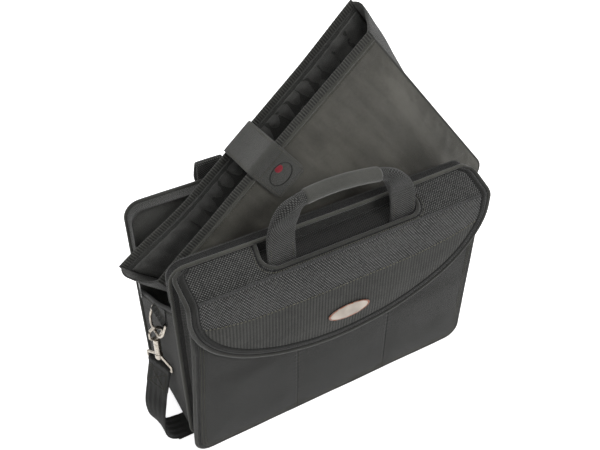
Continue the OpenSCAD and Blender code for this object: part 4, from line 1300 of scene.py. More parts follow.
# %% [markdown]
# ## Cloth of the flap
# Above a decorative row the flap is a coarse lattice weave with bright flecks, below it
# fine ribs run down. They are one sheet in two weaves, so the material picks between them
# by the height of the row. The lattice shifts each second row by half a cell, and each
# cell has its own brightness. Above the fold the pattern goes on along the strip.

# %% Cloth of the flap
ROW_Z, ROW_RISE = 212, 19
CELL_W, CELL_H, RIB_PITCH = 3.6, 2.3, 4.2


def stitch_z(x):
    """Height of the flap's decorative row."""
    return ROW_Z + ROW_RISE * (abs(x) / 200) ** 4


def flap_finish():
    """Coarse bright-flecked weave above the decorative row, fine ribs below it."""
    paint = Paint("flap_ballistic")
    x, z = paint.along((1, 0, 0)), paint.along((0, 0, 1))
    y = paint.along((0, 1, 0))
    far = (x.size() / 200)
    row = far * far * far * far * ROW_RISE + ROW_Z
    upper = (z - row).above(-0.6, 0.6)
    drop = 0 - z - y * ((z - 264).above(0, 4))
    shift = ((drop / CELL_H).floor() * 0.5).cycle(1.0)
    across = x / CELL_W + shift
    lattice = ((across * pi).sine() * (drop / CELL_H * pi).sine()).size()
    coarse = lattice.above(0.2, 0.9)
    fleck = paint.speckle(across.floor(), (drop / CELL_H).floor()) * 0.5 + 0.5
    ribs = weave("rib", x, drop, RIB_PITCH) * (paint.noise(9, 2) + 0.15)
    ribs = ribs + weave("plain", x, drop, 1.4) * 0.3
    broad, fine = paint.noise(80, 3).above(0.3, 0.7), paint.noise(4, 4)
    low_tone = (ribs * 0.8 + fine * 0.3 + broad * 0.15).above(0.1, 1.1)
    high_tone = (coarse * fleck + fine * 0.1 + broad * 0.12).above(0.05, 1.05)
    low = paint.mix(low_tone, colour("#111110"), colour("#454542"))
    high = paint.mix(high_tone, colour("#0c0c0c"), colour("#686866"))
    paint.feed("Base Color", paint.mix(upper, low, high))
    paint.feed("Roughness", fine * 0.2 + 0.66)
    paint.set(Sheen_Weight=0.25, Sheen_Roughness=0.4, Specular_IOR_Level=0.18)
    height = coarse * upper + ribs * (1 - upper) * 0.5 + paint.noise(14, 2)
    paint.bump(height, 0.5)
    return paint.material


flap_cloth = flap_finish()
print(f"{flap_cloth.name}: {len(flap_cloth.node_tree.nodes)} nodes")

# %% [markdown]
# ## Sheet of the flap
# The sheet is a grid of rows from the seam to the curved edge, closer together towards the
# sides where the edge turns. Its slot is cut by deleting the faces inside a rounded
# rectangle, which leaves an edge for Solidify to close, where a Boolean would leave odd
# triangles.

# %% Sheet of the flap
FLAP_BEND = (("bag", "flap"), (0, -84, 271), (0, -88.5, 258))


def make_flap_sheet():
    columns = 110
    rows = []
    strip = [STRIP_L * k / 20 for k in range(20)]
    for i in range(columns + 1):
        x = -(FLAP_HALF - 3) * cos(pi * i / columns)
        drop = FOLD_Z - flap_low(x) - 3 * min(1, (FOLD_Z - flap_low(x)) / 60)
        rows.append([flap_point(x, s) for s in strip]
                    + [flap_point(x, STRIP_L + drop * k / 44) for k in range(45)])
    flap = loft("flap_cloth", rows, around=False, pivot=(0, 0, 150))
    area = sum(f.area for f in flap.data.polygons)
    cut = bmesh.new()
    cut.from_mesh(flap.data)
    doomed = []
    for face in cut.faces:
        c = face.calc_center_median() / MM
        s = STRIP_L - sqrt((c.y - FLAP_Y) ** 2 + (c.z - FOLD_Z) ** 2)
        if c.z < FOLD_Z + 0.5 or s > SLOT_EDGE or abs(c.x) > SLOT_HALF:
            continue
        dx, ds = abs(c.x) - (SLOT_HALF - SLOT_R), s - (SLOT_EDGE - SLOT_R)
        if dx <= 0 or ds <= 0 or dx * dx + ds * ds < SLOT_R ** 2:
            doomed.append(face)
            area -= face.calc_area()
    bmesh.ops.delete(cut, geom=doomed, context="FACES")
    cut.to_mesh(flap.data)
    cut.free()
    thicken(flap, 2.6, -1, inner=1)
    fit_across(flap, *FLAP_BEND, "flap_fabric", [flap_cloth, lining_cloth],
               "flap_panel", "flap_lining", "flap_top")
    print(f"the flap's cloth is {area:.3f} m2 without its slot")


make_flap_sheet()

# %% [markdown]
# ## Edge of the flap
# The flap's edge is bound twice: a piped cord at the very edge and a flat tape inside it,
# with painted shade, a dark line, in the groove where each is sewn down. The tape's section
# is turned across the outline at every point, so that it keeps its width round the curve.
# The painted shade lines are thin dark tubes, because a line painted on would not follow
# the edge so closely.

# %% Edge of the flap
TAPE_INSET = 8.7
TAPE_SECTION = ((3.5, 0.4), (2.4, 1.2), (0, 1.5), (-2.4, 1.2), (-3.5, 0.4), (-3.5, -2.6),
                (3.5, -2.6))


def make_flap_edges():
    path = flap_outline(TAPE_INSET)
    rings = []
    for i, (x, s) in enumerate(path):
        before, after = path[max(i - 1, 0)], path[min(i + 1, len(path) - 1)]
        way = Vector((after[0] - before[0], after[1] - before[1])).normalized()
        side_x, side_s = -way.y, way.x
        section = []
        for a, b in TAPE_SECTION:
            section.append(flap_point(x + side_x * a, max(s + side_s * a, 0), b))
        rings.append(section)
    tape = loft("flap_binding_tape", rings, sharp=50)
    fit_across(tape, *FLAP_BEND, "binding", [bind_cloth], "flap_binding")
    # painted shade: thin dark tubes in the sunk grooves on both sides of the tape
    for name, inset in (("flap_groove_outer", 4.7), ("flap_groove_inner", 12.9)):
        groove = [flap_point(x, s, 0.05) for x, s in flap_outline(inset)]
        fit_across(tube(name, groove, 0.75, count=8), *FLAP_BEND, "binding", [thread_dark])
    edge = [flap_point(x, s, -0.7) for x, s in flap_outline(1.4)]
    fit_across(tube("flap_edge_cord", edge, 2.6, count=12), *FLAP_BEND, "piping", [pipe_cloth])


make_flap_edges()

# %% [markdown]
# ## Stitch rows of the flap
# A dark row holds the tape, and a light bold one parts the two weaves, which is what the
# eye catches first on the real flap. Both are the stitch item along a path on the sheet.

# %% Stitch rows of the flap
def sew_flap():
    seam = [flap_point(x, s, 1.5) for x, s in flap_outline(TAPE_INSET) if s > STRIP_L + 8]
    sew("flap_edge_stitches", "flap", [seam], 3.2, finish=thread_dark)
    row = [flap_point(x, FOLD_Z + STRIP_L - stitch_z(x), 0.4) for x in range(-188, 189, 4)]
    sew("flap_stitches", "flap", [row], 4.8, BOLD, thread_light)


sew_flap()

# %% [markdown]
# ## Slot for the handle
# The handle comes up through a slot in the strip. Its edge is rolled over a cord, a light
# bead, with painted shade, a thin dark tube, in the groove outside it, then a row of
# stitches. The three run on the same rounded path, each a little wider than the one before.

# %% Slot for the handle
def make_slot():
    bead = [(-SLOT_HALF, 1.0), (-SLOT_HALF, SLOT_EDGE - SLOT_R)]
    turns = [radians(10 * k) for k in range(1, 10)]
    bead += [(-SLOT_HALF + SLOT_R - SLOT_R * cos(a), SLOT_EDGE - SLOT_R + SLOT_R * sin(a))
             for a in turns]
    bead += [(-x, s) for x, s in bead[::-1]]
    path = even([flap_point(x, s, -0.6) for x, s in bead], 4)
    fit(tube("slot_bead", path, 2.6, count=12), "bag", "binding", [pipe_cloth], "slot_binding")
    # painted shade: a dark tube in the groove just outside the bead
    shade = [(-SLOT_HALF - 3.4, 1.0)] + [(x * (1 + 3.4 / 111), s + 3.2) for x, s in bead[1:-1]]
    shade.append((SLOT_HALF + 3.4, 1.0))
    path = even([flap_point(x, min(s, STRIP_L - 1), 0.1) for x, s in shade], 4)
    fit(tube("slot_groove", path, 0.9, count=8), "bag", "binding", [thread_dark])
    around = [(-SLOT_HALF - 6, 2)] + [(x * (1 + 6 / 114), s + 5) for x, s in bead[1:-1]]
    around.append((SLOT_HALF + 6, 2))
    sew("slot_stitches", "bag", [[flap_point(x, min(s, STRIP_L - 1), 0.1) for x, s in around]], 3.2)


make_slot()

# %% [markdown]
# ## Oval plate
# A domed metal oval sits on the flap, with a raised copper rim round a plain pale face.
# It is a stack of ovals: up the rim, over it, down into the groove and up the
# dome. One mesh takes both finishes, by which faces lie inside the rim.

# %% Oval plate
BADGE_W, BADGE_H, BADGE_Z, BADGE_Y = 30, 11, 165, -90.9
BADGE_STEPS = ((1.0, 0.0), (1.0, 1.0), (0.97, 1.5), (0.93, 1.6), (0.90, 1.15), (0.86, 1.1),
               (0.6, 1.5), (0.3, 1.75), (0.02, 1.8))


def make_badge():
    """A domed oval plate with a copper rim; its face is bare."""
    turns = [2 * pi * k / 64 for k in range(64)]
    rings = [[Vector((BADGE_W * size * cos(a), BADGE_Y - rise, BADGE_Z + BADGE_H * size * sin(a)))
              for a in turns] for size, rise in BADGE_STEPS]
    oval = loft("badge_oval", rings, sharp=60)
    face = Paint("badge_cream")
    blush = face.noise(30, 2)
    face.feed("Base Color", face.mix(blush.above(0.3, 0.7), colour("#8f867d"), colour("#b5aaa0")))
    face.feed("Roughness", blush * 0.1 + 0.3)
    face.set(Metallic=0.55)
    rim = metal("badge_copper", "#7d4a36", 0.3)
    dress(oval, "badge", rim, face.material)
    for polygon in oval.data.polygons:
        c = polygon.center / MM
        inside = sqrt((c.x / BADGE_W) ** 2 + ((c.z - BADGE_Z) / BADGE_H) ** 2) < 0.9
        polygon.material_index = 1 if inside and c.y < BADGE_Y - 0.5 else 0
    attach(oval, "flap")
    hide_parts("badge_plate")
    tell(oval)


make_badge()

# %% [markdown]
# ## Handles
# A handle is two flat webbing legs sewn to the bag, which close into a rolled grip under a
# smooth wrap. The leg's section changes on the way: flat at the foot, then curving in,
# thicker and rounder, until it meets the grip. A loft can do that in one piece, where a
# curve with a fixed bevel could not. The grip is a shallow arch, and the handle stands at
# its rest angle by a matrix about its hinge.

# %% Places of the handles
GRIP_HALF, GRIP_Z, GRIP_RISE, LEG_W = 58.0, 68, 5, 36


def front_handle_at(p):
    return Matrix.Translation((0, -71, 272)) @ Matrix.Rotation(radians(-8), 4, "X") @ p


def rear_handle_at(p):
    hinge = rear(0, 303, 9.1)
    lean = atan(REAR_LEAN)
    return Matrix.Translation(hinge) @ Matrix.Rotation(-lean - radians(160), 4, "X") @ p


def grip_z(x):
    """Height of the grip's middle line, a shallow arch."""
    radius = (GRIP_HALF ** 2 + GRIP_RISE ** 2) / (2 * GRIP_RISE)
    return GRIP_Z + GRIP_RISE - radius + sqrt(radius * radius - x * x)

# %% [markdown]
# ## Leg of a handle
# The leg's two edges are followed on their own: the outer one swings in a wide arc and the
# inner one in a tighter one, and the section between them rolls from flat to round.

# %% Leg of a handle
def leg_rings(span, place, foot):
    """From the sewn foot through the hinge, curving in and rolling up to the grip."""
    rings = [ring(p, Vector((18, 0, 0)), n * 2.0, 6, 24) for p, n in foot]
    for k in range(1, 27):
        a = pi / 2 * (k - 4) / 22
        if k < 5:
            z = 20 * k / 5
            outer, inner = Vector((span / 2, 0, z)), Vector((span / 2 - LEG_W, 0, z))
            roll = 0.0
        else:
            outer = Vector((span / 2 - (1 - cos(a)) * (span / 2 - 50), 0, 20 + sin(a) * 55.5))
            inner_x = span / 2 - LEG_W - (1 - cos(a)) * (span / 2 - 86)
            inner = Vector((inner_x, 0, 20 + sin(a) * 40.5))
            roll = ease(k, 8, 22)
        centre, half = (outer + inner) / 2, (outer - inner) / 2
        thick = 2.0 + (half.length - 2.0) * roll * 0.98
        section = ring(centre, half, Vector((0, thick, 0)), 6 - 4 * roll, 24)
        rings.append([place(p) for p in section])
    return rings


print(f"the grip stands {grip_z(0):.0f} mm above its hinge")

# %% [markdown]
# ## Wrap and seams of a handle
# The wrap is a sleeve of smooth cloth over the rolled webbing, with a small lip at each end
# and its seam underneath. Rings round the grip's arch make it, uneven by a hair.

# %% Wrap and seams of a handle
WRAP_HALF = 50


def make_wrap(name, place, body):
    """The smooth cover of the grip, with its seam underneath."""
    rings = []
    for k in range(61):
        x = -WRAP_HALF + 2 * WRAP_HALF * k / 60
        ends = min(1, (WRAP_HALF - abs(x)) / 2.2)
        r = 8.1 + 1.1 * sqrt(max(ends, 0)) + 0.12 * wave((x, 0, 0), 12)
        centre = Vector((x, 0, grip_z(x)))
        section = []
        for m in range(32):
            a = 2 * pi * m / 32
            seam = -0.7 * exp(-((a - 1.25 * pi) / 0.12) ** 2)
            section.append(place(centre + Vector((0, (r + seam) * cos(a), (r + seam) * sin(a)))))
        rings.append(section)
    wrap = loft(f"{name}_wrap_cloth", rings, sharp=60)
    fit(wrap, body, "wrap", [wrap_cloth], f"{name}_wrap")


def sew_handle(name, span, place, body):
    xs = [-48 + 96 * k / 20 for k in range(21)]
    lips = [place(Vector((x, -6.4, grip_z(x) - 5.4))) for x in xs]
    legs = []
    for s in (-1, 1):
        for inset in (4, 32):
            x = s * (span / 2 - inset)
            legs.append([place(Vector((x, -2.2, 2 + z))) for z in range(0, 18, 3)])
    sew(f"{name}_stitches", body, [lips] + legs, 3.2)

# %% [markdown]
# ## A handle
# One function makes a whole handle from its span, its place and its foot points. The grip
# rides on the handle's body, and the legs stay where they are made.

# %% A handle
def make_handle(name, span, place, feet, bodies, start, end, nodes):
    left, right = [], []
    for s, rings in ((-1, left), (1, right)):
        foot = [(Vector((span / 2 - 18, p[0], p[1])), Vector((0, n[0], n[1]))) for p, n in feet]
        for section in leg_rings(span, place, foot):
            rings.append([Vector((s * p.x, p.y, p.z)) for p in section])
    for side, rings in (("left", left), ("right", right)):
        leg = loft(f"{name}_leg_{side}", rings, sharp=60)
        fit_across(leg, bodies, start, end, "webbing", [leg_cloth],
                   *(nodes if side == "left" else ()))
    body = bodies[1]
    xs = [-GRIP_HALF + 2 * GRIP_HALF * k / 40 for k in range(41)]
    core = [place(Vector((x, 0, grip_z(x)))) for x in xs]
    fit(tube(f"{name}_core", core, 7.5, count=24), body, "webbing", [leg_cloth])
    make_wrap(name, place, body)
    sew_handle(name, span, place, body)

# %% [markdown]
# ## Both handles
# The front legs start at the front section's top, the rear ones lie flat on the rear panel
# and turn over its edge, so each handle gets its own list of foot points. The front grip
# droops a little to the right in the photograph. That is added to the finished meshes,
# which keeps the handle itself symmetric.

# %% Both handles
def make_handles():
    feet = [((-71, z), (1, 0)) for z in (262.5, 265, 267.5, 270)]
    before = set(bpy.data.objects)
    make_handle("front_handle", 202, front_handle_at, feet, ("bag", "front_handle"),
                (0, -71, 270.5), (0, -69.5, 281), ("front_handle_web", "front_handle_anchors"))
    for obj in set(bpy.data.objects) - before:
        for vertex in obj.data.vertices:
            droop = ease(vertex.co.x, -0.05, 0.09) * ease(vertex.co.z, 0.28, 0.335)
            vertex.co.z -= 6 * droop * MM
    feet = []
    for z in range(226, 302, 5):
        feet.append((rear(0, z, 4.7), rear(0, z, 5.7) - rear(0, z, 4.7)))
    for angle in (150, 120, 90, 60, 30):
        c = rear(0, 301.5, 6.9)
        a = radians(angle)
        feet.append((c + Vector((0, 2.2 * cos(a), 2.6 * sin(a))), Vector((0, -cos(a), -sin(a)))))
    feet = [((p.y, p.z), (n.y, n.z)) for p, n in feet]
    make_handle("rear_handle", 218, rear_handle_at, feet, ("bag", "rear_handle"),
                (0, 100.5, 302), (0, 108.5, 302), ("rear_handle_web", "rear_handle_anchors"))


make_handles()

# %% [markdown]
# ## Frame of the sleeve
# The padded sleeve stands tilted in the bag. Working in world axes would make every number
# odd, so it has its own frame: u along the open edge, v through it to the back, w up its
# height, and `sleeve_at` turns and moves the point to its place. Its back corners are
# drawn out at the mouth, as an empty sleeve's are.

# %% Frame of the sleeve
ORIGIN = Vector((-21.3, -34.7, 8.32))
TURN = Matrix.Rotation(radians(-6.2), 4, "X") @ Matrix.Rotation(radians(-38.6), 4, "Y")
SLEEVE_L, SLEEVE_T, SLEEVE_R = 368, 60, 18


def sleeve_at(u, v, w):
    """A point of the sleeve; its back corners are pulled out and up at the mouth."""
    left = ease(w, 190, 304) * ease(-u, -90, 8) * ease(v, 4, 60)
    right = ease(w, 30, 304) * ease(u, 290, 372) * ease(v, 6, 60)
    u, v, w = u - 24 * left + 22 * right, v - 1.5 * left, w + 13 * left + 4 * right
    return ORIGIN + TURN @ Vector((u, v, w))


ALONG, THROUGH, UPWARD = [TURN @ Vector(d) for d in ((1, 0, 0), (0, 1, 0), (0, 0, 1))]


print("left end of the sleeve's mouth:", [round(c) for c in sleeve_at(0, 0, 304)])

# %% [markdown]
# ## Sleeve nylon
# The sleeve is thinner and shinier than the bag: light runs down it in soft streaks. The
# streaks are noise stretched along the height; they are painted sheen, lighter in colour, and
# smoother at once.
# Creases that are wide enough to shade are real, in `sleeve_dent`, and slant from the
# closing tab and the corners, where the cloth is held.

# %% Sleeve nylon
def sleeve_dent(u, w):
    """Soft creases of the sleeve's front face, running from the tab and the corners."""
    slant = sin((u * 0.55 - w) / 34 + 2.2 * wave((u, w, 0), 120, 1))
    drag = exp(-((u - 184) / 90) ** 2) * ease(w, 120, 280)
    rumple = 2.4 * wave((u, w * 0.6, 0), 85, 3) + 0.9 * wave((u, w, 0), 32, 6)
    return 1.3 * slant * (0.4 + drag) + rumple


def sleeve_finish():
    """Thin shiny nylon with streaks of painted sheen that run up the sleeve."""
    paint = Paint("sleeve_nylon")
    u, w = paint.along(ALONG), paint.along(UPWARD)
    height, fine = weave("plain", u, w, 0.9), paint.noise(4, 3)
    painted_sheen_streak = paint.cloud(u / 26, w / 150, 3).above(0.42, 0.72)
    broad = paint.noise(90, 3).above(0.3, 0.7)
    # painted sheen: the streaks lighten the colour; their lower roughness is real
    tone = height * 0.3 + fine * 0.3 + broad * 0.2 + painted_sheen_streak * 0.28
    paint.feed("Base Color", paint.mix(tone.above(0.0, 1.15), colour("#383733"), colour("#605e57")))
    paint.feed("Roughness", fine * 0.15 - painted_sheen_streak * 0.12 + 0.5)
    paint.set(Sheen_Weight=0.3, Sheen_Roughness=0.4, Specular_IOR_Level=0.24)
    paint.bump(height * 0.5 + paint.noise(16, 2) * 2 + painted_sheen_streak * 2, 0.15)
    return paint.material

# %% [markdown]
# ## Walls of the sleeve
# Front and back wall are plates with three sewn sides and an open top, inflated as cloth
# and then dented. The dents come after the simulation, because the pressure would blow
# them out again.

# %% Walls of the sleeve
SLEEVE_MID = SLEEVE_L / 2


def make_sleeve_walls():
    def front_wall(x, z, out=0.0):
        return sleeve_at(SLEEVE_MID + x, out, z)

    def back_wall(x, z, out=0.0):
        return sleeve_at(SLEEVE_MID + x, SLEEVE_T + out, z)
    wall_cloth = sleeve_finish()
    dark_cloth = fabric("sleeve_back_nylon", "#242423", "#454542", 0.9, axes=(ALONG, UPWARD),
                        rough=0.75)
    walls = (("sleeve_front_wall", front_wall, -1, wall_cloth, "sleeve_front"),
             ("sleeve_back_wall", back_wall, 1, dark_cloth, "sleeve_back"))
    for name, at, face, finish, node in walls:
        wall = plate(name, at, SLEEVE_L, 0, 295, 0.2, -2.6, 0.2, r=SLEEVE_R, square_top=True,
                     back_crown=2.5, face=face, rumple=0.4, columns=72, falls=30, pitch=5)
        puff(wall, PUFF_CAP)
        for vertex in wall.data.vertices:
            local = TURN.inverted() @ (vertex.co / MM - ORIGIN)
            edge = min(local.x, SLEEVE_L - local.x, local.z, 297 - local.z)
            dent = sleeve_dent(local.x, local.z) * ease(edge, 2, 30)
            vertex.co += THROUGH * dent * MM * (1 if face < 0 else -1)
        fit(wall, "sleeve", "sleeve_fabric", [finish], node)


make_sleeve_walls()

# %% [markdown]
# ## Air-cell lining
# The sleeve is lined with cushions of air in staggered rows. Modelled one by one they
# would be hundreds of pieces, so the lining is one sheet whose height is a product of two
# waves, flattened towards its seams.

# %% Air-cell lining
CELL_U = 18


def make_air_pads():
    """The ribbed air-cell lining inside the mouth, one pad on each wall."""
    pads = (("front_air_pad", 5.0, 1, "sleeve_front_pad"),
            ("back_air_pad", 55.0, -1, "sleeve_back_pad"))
    for name, base, face, node in pads:
        rows = []
        for i in range(155):
            u = 4 + 360 * i / 154
            row = []
            for k in range(129):
                w = 6 + 284 * k / 128
                shift = CELL_U / 2 if int(u // CELL_U) % 2 else 0
                cell_u, cell_w = sin(pi * u / CELL_U) ** 2, sin(pi * (w + shift) / 30) ** 2
                hump = 3.6 * (cell_u ** 0.6) * (0.55 + 0.45 * cell_w ** 0.6)
                edge = ease(min(u - 4, 364 - u, w - 6, 290 - w), 0, 9)
                row.append(sleeve_at(u, base + face * (hump * edge), w))
            rows.append(row)
        behind = sleeve_at(SLEEVE_MID, 30 - face * 60, 150)
        pad = loft(name, rows, around=False, sharp=70, pivot=behind)
        thicken(pad, 1.2, 0)
        fit(pad, "sleeve", "padding", [pad_cloth], node)


make_air_pads()

# %% [markdown]
# ## Gusset of the sleeve
# The band between the walls is slack and folds outward at the mouth, with a smaller tuck on
# the fold. It is lofted like the bag's gussets, from the same outline function, with a
# seam cord along both edges.

# %% Gusset of the sleeve
SEAM_V = 0.9


def make_sleeve_gusset():
    rows = []
    for x, z, nx, nz in under(SLEEVE_L, 0.6, 302, 302, 6, SLEEVE_R):
        row = []
        for k in range(17):
            t = k / 16
            v = 2.2 + 55.6 * t
            up = ease(z, 150, 302)
            fold = sin(pi * t)
            tuck = 0.35 * sin(3 * pi * t)
            out = abs(nx) * ((9.0 * up + 0.8) * fold + 4.0 * up * tuck) - 0.8 * fold * abs(nz)
            out += 1.3 * wave((x, v, z), 30, 8) * fold * abs(nx)
            low = 5 * up * fold * ease(z, 260, 302)
            row.append(sleeve_at(SLEEVE_MID + x + nx * out, v, z + nz * out - low))
        rows.append(row)
    band = loft("sleeve_gusset_band", rows, around=False, pivot=sleeve_at(SLEEVE_MID, 30, 180))
    thicken(band, 1.8, -1, inner=1)
    finish = fabric("sleeve_gusset_nylon", "#20201f", "#41413e", 0.9, rough=0.72, crease=1.0)
    fit(band, "sleeve", "sleeve_fabric", [finish, pad_cloth], "sleeve_gusset")
    for name, v in (("sleeve_front_seam", SEAM_V), ("sleeve_back_seam", SLEEVE_T - SEAM_V)):
        edge = under(SLEEVE_L, 0.7, 296, 296, 5, SLEEVE_R)
        path = [sleeve_at(SLEEVE_MID + x, v, z) for x, z, _, _ in edge]
        fit(tube(name, path, 1.7, count=8), "sleeve", "piping", [pipe_cloth])


make_sleeve_gusset()

# %% [markdown]
# ## Ribbed bindings
# Both open edges are bound in a ribbed tape, with a pale cord and a stitch row under the
# front one. The ribs are 4 mm apart and show on the outline, so they are geometry: the
# section swells and shrinks along the tape.

# %% Ribbed bindings
def make_sleeve_bindings():
    """Ribbed tape along both open edges, with a light cord under the front one."""
    nodes = ("sleeve_bindings",)
    for name, v in (("sleeve_front_ribbing", SEAM_V), ("sleeve_back_ribbing", SLEEVE_T - SEAM_V)):
        rings = []
        for i in range(460):
            u = SLEEVE_L * i / 459
            t = 1.75 + 0.28 * sin(2 * pi * u / 4.0)
            lean = 0.8 * wave((u, 0, 0), 60, 2)
            centre = sleeve_at(u, v + lean * 0.4, 299 + 0.5 * lean)
            rings.append(ring(centre, THROUGH * t, UPWARD * 5.0, 3.5, 14))
        fit(loft(name, rings, sharp=80), "sleeve", "binding", [rib_tape], *nodes)
        nodes = ()
    path = [sleeve_at(2 + 364 * k / 90, -0.9, 292.2 + 0.3 * wave((k, 0, 0), 9))
            for k in range(91)]
    fit(tube("sleeve_light_cord", path, 1.5, count=8), "sleeve", "piping", [pipe_light])
    row = [sleeve_at(4 + 360 * k / 60, -1.1, 287.5) for k in range(61)]
    sew("sleeve_stitches", "sleeve", [row], 3.4)


make_sleeve_bindings()

# %% [markdown]
# ## Closing tab
# A padded webbing tab is sewn behind the mouth, runs over both edges and closes down the
# front. It is one tape along a path in the sleeve's frame, with a flat rectangular section
# and a rounded end, and it bends where it leaves the back wall.

# %% Closing tab
TAB_U, TAB_HALF, TAB_TOP, TAB_FRONT, DISC_R = 184, 23.5, 306, -5.0, 5.5


def make_tab():
    up = TAB_TOP
    path = [(61.9, w) for w in range(266, 303, 6)] + [(61.6, 303.8), (60.4, 305.9), (58, up)]
    path += [(58 - 56 * k / 8, up - 2.2 * sin(pi * k / 8)) for k in range(1, 8)]
    path += [(1.5, up - 0.2), (-1.6, 305.2), (-3.2, 302.8), (-3.7, 299)]
    path += [(-3.7 - 0.5 * sin(pi * k / 9), 299 - 51 * k / 9) for k in range(1, 10)]
    path = even([Vector((0, v, w)) for v, w in path], 3.0)
    rings = []
    for i, p in enumerate(path):
        along = tangent(path, i, False)
        out = along.cross(Vector((1, 0, 0))).normalized()
        ends = 1 - 0.18 * (1 - min(1, (len(path) - 1 - i) / 3)) ** 2
        section = ring(p, Vector((TAB_HALF * ends, 0, 0)), out * 1.1, 7, 28)
        for q in section:
            q.y += 0.4 * wave((q.x, i * 3, 0), 20) * (abs(q.x) < 20)
        rings.append([sleeve_at(TAB_U + q.x, q.y, q.z) for q in section])
    tab = loft("closing_tab", rings, sharp=50)
    tab_cloth = fabric("tab_webbing", "#2a2a29", "#595955", 1.1, "plain", depth=0.3, sheen=0.3)
    start, end = sleeve_at(0, 62.4, 302.5), sleeve_at(0, 56.5, 307.5)
    fit_across(tab, ("sleeve", "sleeve_tab"), start, end, "webbing", [tab_cloth],
               "sleeve_tab", "sleeve_tab_anchor")


make_tab()

# %% [markdown]
# ## Details of the tab
# A box of stitches holds the hook-and-loop tape behind the tab's end, an oval ridge is
# pressed into it, and a small domed red disc is embroidered at its top.

# %% Details of the tab
def sew_tab():
    edge = TAB_HALF - 2.6
    box = [(-edge, 300), (-edge, 250.5), (edge, 250.5), (edge, 300)]
    inner = [(-edge, 291), (edge, 291)]
    depths = [3 + 52 * k / 20 for k in range(21)]
    over_path = [[sleeve_at(TAB_U + s * edge, v, TAB_TOP + 1.15 - 2.2 * sin(pi * (1 - v / 58)))
                  for v in depths] for s in (-1, 1)]
    sewn = [even([sleeve_at(TAB_U + x, TAB_FRONT, w) for x, w in line], 3) for line in (box, inner)]
    sewn += over_path
    sew("tab_stitches", "sleeve_tab", sewn, 3.0)


sew_tab()


def make_tab_badge():
    oval = [sleeve_at(TAB_U + 15.5 * cos(a), TAB_FRONT - 0.2, 271.5 + 13 * sin(a))
            for a in (2 * pi * k / 48 for k in range(48))]
    ridge = tube("tab_oval_ridge", oval, 0.8, closed=True, count=8)
    fit(ridge, "sleeve_tab", "webbing", [bind_cloth])
    turns = [2 * pi * k / 32 for k in range(32)]
    rings = []
    for size, rise in ((1, 0), (1, 0.5), (0.9, 0.9), (0.6, 1.15), (0.05, 1.25)):
        r = DISC_R * size
        rings.append([sleeve_at(187 + r * cos(a), TAB_FRONT + 0.3 - rise, 279.5 + r * sin(a))
                      for a in turns])
    fit(loft("tab_red_disc", rings, sharp=60), "sleeve_tab", "red_patch", [red_cloth], "tab_badge")


make_tab_badge()

# %% [markdown]
# ## Ring tabs
# A loop of webbing holds each D-ring to the gusset. It is made once, on the left, in the
# plane of its side view, and `on_side` mirrors it to the right, where the mouth is 24 mm
# lower. The mirror turns the faces inside out, but the loft recalculates them.

# %% Ring tabs
RIGHT_DROP = 24


def on_side(s, p):
    """The point on the left side, or its mirror on the right one."""
    return Vector((-p.x, p.y, p.z - RIGHT_DROP)) if s > 0 else p


def make_ring_tabs():
    bar = Vector((-212.65, 0, 182))
    for s, name in ((-1, "left"), (1, "right")):
        path = [(-208.0, 205), (-208.1, 196), (-208.4, 189), (-209.3, 185.2)]
        path += [(bar.x + 3.0 * cos(radians(a)), bar.z + 3.0 * sin(radians(a)))
                 for a in range(20, -221, -20)]
        path += [(-210.4, 188.2), (-210.3, 196), (-210.2, 205)]
        rings = []
        for i, (x, z) in enumerate(path):
            ends = ease(z, 186, 205)
            a, b = path[max(i - 1, 0)], path[min(i + 1, len(path) - 1)]
            along = Vector((b[0] - a[0], 0, b[1] - a[1])).normalized()
            out = Vector((along.z, 0, -along.x))
            section = ring(Vector((x, -2, z - 8 * ends)), Vector((0, 17.5, -10.8 * ends)),
                           out * 0.85, 6, 20)
            rings.append([on_side(s, p) for p in section])
        tab = loft(f"ring_tab_{name}", rings, sharp=50)
        fit(tab, "bag", "webbing", [web_cloth], *(("ring_tabs",) if s < 0 else ()))
        line = [on_side(s, Vector((-211.3, -18 + 32 * k / 10, 190 - 0.05 * k))) for k in range(11)]
        sew(f"ring_tab_stitches_{name}", "bag", [line], 3.0)


make_ring_tabs()

# %% [markdown]
# ## Strap ends
# Each end of the strap is folded round its wire loop and sewn down by a box with a cross.
# The path is the side view of the fold, and the matrix gives it the lean and turn at which
# the hook hangs. The adjuster covers the right end, so only one row is sewn there.

# %% Strap ends
BOX = ((-15, -9), (15, -9), (15, -34), (-15, -34), (-15, -9), (15, -34))
CROSS = ((15, -9), (-15, -34))


